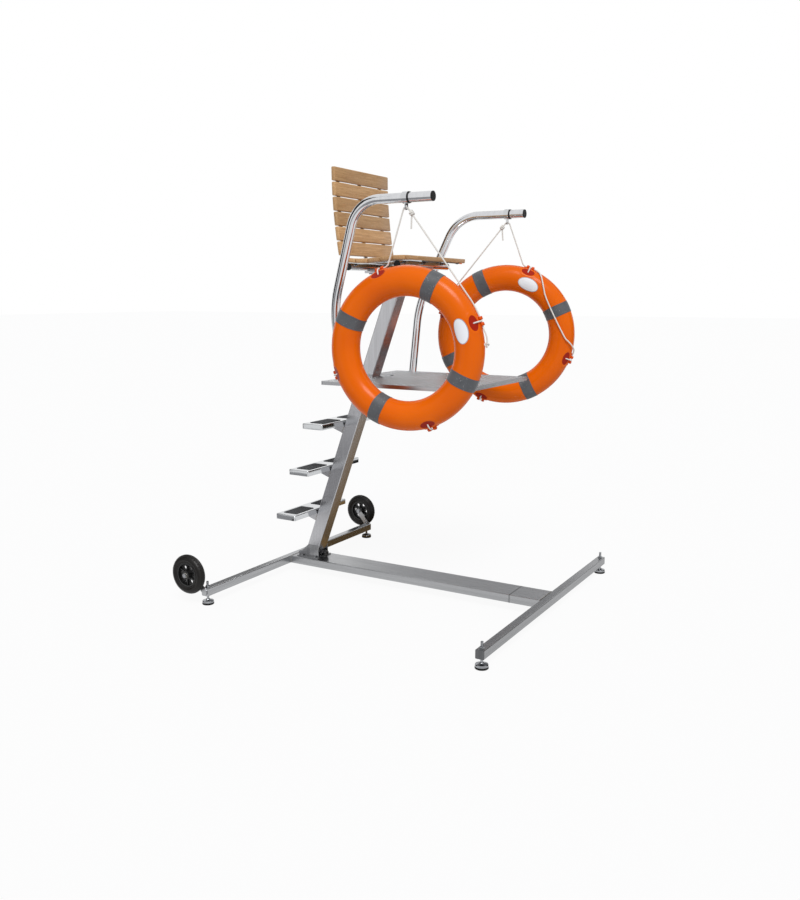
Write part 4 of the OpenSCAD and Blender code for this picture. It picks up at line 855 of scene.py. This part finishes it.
# The sewn lap lies over these steps of the ring's section
LAP_STEPS, LAP_PROUD, RIPPLE = range(58, 67), 0.0007, 0.0003
for side in (-1, 1):
    wraps = []
    for quarter in range(4):
        middle = radians(BAND_START + 90 * quarter)
        rings = []
        for k in range(SECTION_STEPS):
            angle = 2 * pi * k / SECTION_STEPS
            ripple = RIPPLE * noise.noise(Vector((cos(angle), sin(angle), quarter)) * 4)
            lap = LAP_PROUD if k in LAP_STEPS else 0.0
            # Towards the ring's hole the band covers more of the turn, up to a quarter more
            spread = BAND_HALF * min(1.25, 0.36 / ring_section(angle)[0] * 0.93)
            rings.append([ring_point(middle + u * spread, angle,
                                     grow + (ripple + lap) * (grow > 0.001))
                          for u, grow in SELVEDGED])
        wraps.append(loft(rings, round_trip=True))
    band = add_ring_piece("ring_tape", wraps, tape, side, sharp=50)
    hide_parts(f"ring_bands_{SIDE[side]}")


# Rope lugs
# Four cleats moulded into the ring's outer edge: an oval foot and two cheeks with the
# rope's bore. Beside each one a hollow takes a short bight of rope, and a red film in it is
# painted shade.
lug_orange = moulded_plastic("polyethylene_orange", "#D04400", "#E05600", 0.32, shine=0.2)
# The red film is painted shade: it darkens the orange where each hollow lies in shadow
hollow_shade_red = moulded_plastic("polyethylene_red_painted_shade", "#8C1400", "#A82000", 0.40, shine=0.15)
FOOT_LONG, FOOT_WIDE = 0.036, 0.021
CHEEK_OUT, CHEEK_HIGH, CHEEK_WIDE, CHEEK_BEVEL = 0.0065, 0.0085, 0.012, 0.0012


def lug_shape(turn):
    """One cleat at a place on the ring's outer edge: its foot follows the ring's curves."""
    outer = RING_MID + RING_FLAT + RING_ROUND
    rings = []
    for out, share in ((-0.004, 1.0), (0.0012, 0.97), (0.0026, 0.90), (0.0030, 0.78)):
        ring = []
        for c, s in circle(28):
            y, z = FOOT_LONG * share * c, FOOT_WIDE * share * s
            ring.append(Vector((out - z * z / (2 * RING_ROUND) - y * y / (2 * outer), y, z)))
        rings.append(ring)
    shapes = [loft(rings)]
    for end in (-1, 1):
        rings = []
        for y, inset in ((0.006, CHEEK_BEVEL), (0.0075, 0), (0.0185, 0), (0.020, CHEEK_BEVEL)):
            rings.append([Vector((CHEEK_OUT - inset / 2 + (CHEEK_HIGH - inset) * c, end * y,
                                  (CHEEK_WIDE - inset) * s)) for c, s in circle(20)])
        shapes.append(loft(rings))
    at_edge = Matrix.Rotation(turn, 4, "Z") @ Matrix.Translation((outer, 0, 0))
    return [([at_edge @ p for p in points], faces) for points, faces in shapes]


# A red film of painted shade fills the hollow, and the bight's rope comes out of it and over the
# edge
SHADE_FILM_LONG, SHADE_FILM_WIDE = 0.034, 0.0195
BIGHT = ((42, 0.001), (38, 0.006), (31, 0.009), (22, 0.0085), (12, 0.0085), (2, 0.0105))


def oval_patch(middle_turn, middle_angle, long_half, wide_half, low, high, rows=10):
    """An oval of thin film that follows the ring's surface."""
    long_turn, wide_turn = long_half / ring_section(middle_angle)[0], wide_half / RING_ROUND
    rings = []
    for share, grow in [(1.0, low)] + [(1.0 - k / rows, high) for k in range(rows)]:
        rings.append([ring_point(middle_turn + share * c * long_turn,
                                 middle_angle + share * s * wide_turn, grow)
                      for c, s in circle(40)])
    return loft(rings)


for side in (-1, 1):
    cleats, shade_films, bights = [], [], []
    for quarter in range(4):
        turn = radians(LUG_START + 90 * quarter)
        cleats += lug_shape(turn)
        shade_films.append(oval_patch(turn, LUG_FACING, SHADE_FILM_LONG, SHADE_FILM_WIDE, 0.0001, 0.0006,
                                 rows=14))
        bight = [ring_point(turn, radians(angle), grow) for angle, grow in BIGHT]
        bights.append(braided_tube(smooth_route(bight, ROPE_STEP), ROPE_D * 0.46))
    lugs = add_ring_piece("ring_cleats", cleats, lug_orange, side, sharp=50)
    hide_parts(f"ring_lugs_{SIDE[side]}")
    add_ring_piece("lug_hollow_painted_shade", shade_films, hollow_shade_red, side, sharp=35)
    add_ring_piece("lug_rope_bights", bights, rope_white, side, sharp=35)


# Labels
# One blank oval label of white vinyl on each ring, with a thin grey border. Both are
# stuck to the side of the ring on the sitter's right.
vinyl = moulded_plastic("white_vinyl", "#E6E8EC", "#F2F3F5", 0.4)
border = moulded_plastic("grey_vinyl_print", "#9DA2AA", "#ABB0B7", 0.4)
LABEL_LONG, LABEL_WIDE, BORDER = 0.052, 0.026, 0.003
LABEL_TURN, LABEL_FACING = {1: radians(115), -1: radians(17)}, radians(97)
for side in (-1, 1):
    for name, film, more, low, high in (("ring_label", vinyl, 0.0, 0.0002, 0.0009),
                                        ("ring_label_border", border, BORDER, 0.0001, 0.0005)):
        oval = oval_patch(LABEL_TURN[side], LABEL_FACING, LABEL_LONG + more, LABEL_WIDE + more,
                          low, high)
        add_ring_piece(name, [oval], film, side)


# Studio
# A plain pale floor that runs to white, soft light from the world and one wide lamp, and
# boards out of sight that give the polished steel something to reflect.
def seen_directly(tree):
    """1 where the camera, a reflection or a clear piece looks, 0 where light is gathered."""
    rays = add_node(tree, "ShaderNodeLightPath")
    seen = add_node(tree, "ShaderNodeMath", {"operation": "MAXIMUM"},
                    {0: rays.outputs["Is Camera Ray"], 1: rays.outputs["Is Glossy Ray"]})
    seen = add_node(tree, "ShaderNodeMath", {"operation": "MAXIMUM"},
                    {0: seen.outputs[0], 1: rays.outputs["Is Transmission Ray"]})
    return seen.outputs[0]


floor_mesh = bpy.data.meshes.new("studio_floor")
FAR = 60
floor_mesh.from_pydata([(-FAR, -FAR, 0), (FAR, -FAR, 0), (FAR, FAR, 0), (-FAR, FAR, 0)], [],
                       [(0, 1, 2, 3)])
studio_floor = bpy.data.objects.new("studio_floor", floor_mesh)
bpy.context.scene.collection.objects.link(studio_floor)
floor_paint = bpy.data.materials.new("studio_floor_paint")
floor_paint.use_nodes = True
tree = floor_paint.node_tree
tree.nodes.clear()
share = add_node(tree, "ShaderNodeMath", {"operation": "MULTIPLY", 1: 0.93},
                 {0: seen_directly(tree)})
matt = add_node(tree, "ShaderNodeBsdfDiffuse", {"Color": srgb("#DADADA")})
glow = add_node(tree, "ShaderNodeEmission", {"Color": srgb("#FFFFFF"), "Strength": 1.0})
mixed = add_node(tree, "ShaderNodeMixShader",
                 links={0: share.outputs[0], 1: matt.outputs[0], 2: glow.outputs[0]})
add_node(tree, "ShaderNodeOutputMaterial", links={"Surface": mixed.outputs[0]})
floor_mesh.materials.append(floor_paint)

world = bpy.data.worlds.new("studio")
bpy.context.scene.world = world
world.use_nodes = True
tree = world.node_tree
tree.nodes.clear()
soft = add_node(tree, "ShaderNodeBackground", {"Color": srgb("#F6F8FF"), "Strength": 0.50})
white = add_node(tree, "ShaderNodeBackground", {"Color": srgb("#FFFFFF"), "Strength": 1.0})
mixed = add_node(tree, "ShaderNodeMixShader",
                 links={0: seen_directly(tree), 1: soft.outputs[0], 2: white.outputs[0]})
add_node(tree, "ShaderNodeOutputWorld", links={"Surface": mixed.outputs[0]})

# A wide soft lamp, so far off that it lights the whole floor alike
key = bpy.data.objects.new("key_lamp", bpy.data.lights.new("key_lamp", "SUN"))
key.data.energy = 2.05
key.data.angle = radians(24)
key.rotation_euler = Vector((0.40, -0.58, 0.85)).to_track_quat("Z", "Y").to_euler()
bpy.context.scene.collection.objects.link(key)

# The mast's front face sees the floor along a line at this angle
MAST_GLANCE = radians(-31.7)
# Plain boards that only shiny surfaces see: place, what they face, width, height, colour
# and a turn in their own plane
for name, place, aim, wide, tall, colour, turn in (
        ("behind_camera", (0.5, -8.0, 1.2), (0, 0, 1.0), 4.0, 4.5, "#B2B3B6", 0),
        ("left_dark", (-6.0, -2.6, 1.6), (0, 0, 1.2), 4.6, 6.0, "#242120", 0),
        ("right_dark", (5.2, 4.4, 1.4), (0, 0, 1.2), 5.0, 6.0, "#302A24", 0),
        ("far_left", (-2.5, 6.0, 2.2), (0, 0, 1.2), 2.6, 2.2, "#B4B4B6", 0),
        ("far_edge", (-5.3, 4.2, 2.25), (-0.7, -0.5, 0.1), 1.7, 1.4, "#0E0E0E", 0),
        ("high_left", (-4.2, -1.5, 4.6), (0, 0, 1.0), 6.0, 1.6, "#302E2C", 0),
        ("high_far", (0.5, 4.6, 3.9), (0, 0, 1.0), 6.0, 1.4, "#302E2C", 0),
        ("grey_floor", (-2.4, -3.4, 0.004), (-2.4, -3.4, 1.0), 4.0, 4.4, "#A0A0A2", 0),
        ("warm_strip", (-0.04, 1.30, 0.004), (-0.04, 1.30, 1.0), 0.7, 2.5, "#846A45",
         MAST_GLANCE),
        ("dark_strip", (1.45, 3.75, 0.006), (1.45, 3.75, 1.0), 1.0, 3.0, "#14110E",
         MAST_GLANCE),
        ("warm_patch", (-0.50, 0.66, 0.008), (-0.50, 0.66, 1.0), 0.4, 0.8, "#6E5A3E", 0)):
    mesh = bpy.data.meshes.new(f"board_{name}")
    a, b = wide / 2, tall / 2
    mesh.from_pydata([(-a, -b, 0), (a, -b, 0), (a, b, 0), (-a, b, 0)], [], [(0, 1, 2, 3)])
    board = bpy.data.objects.new(f"board_{name}", mesh)
    board.location = place
    facing = (Vector(aim) - Vector(place)).to_track_quat("Z", "Y").to_matrix()
    board.rotation_euler = (facing @ Matrix.Rotation(turn, 3, "Z")).to_euler()
    bpy.context.scene.collection.objects.link(board)
    board.visible_camera = board.visible_diffuse = board.visible_shadow = False
    board.visible_transmission = board.visible_volume_scatter = False
    paint = bpy.data.materials.new(f"board_{name}_paint")
    paint.use_nodes = True
    tree = paint.node_tree
    tree.nodes.clear()
    glow = add_node(tree, "ShaderNodeEmission", {"Color": srgb(colour), "Strength": 1.0})
    add_node(tree, "ShaderNodeOutputMaterial", links={"Surface": glow.outputs[0]})
    mesh.materials.append(paint)

bpy.context.scene.view_settings.view_transform = "Standard"
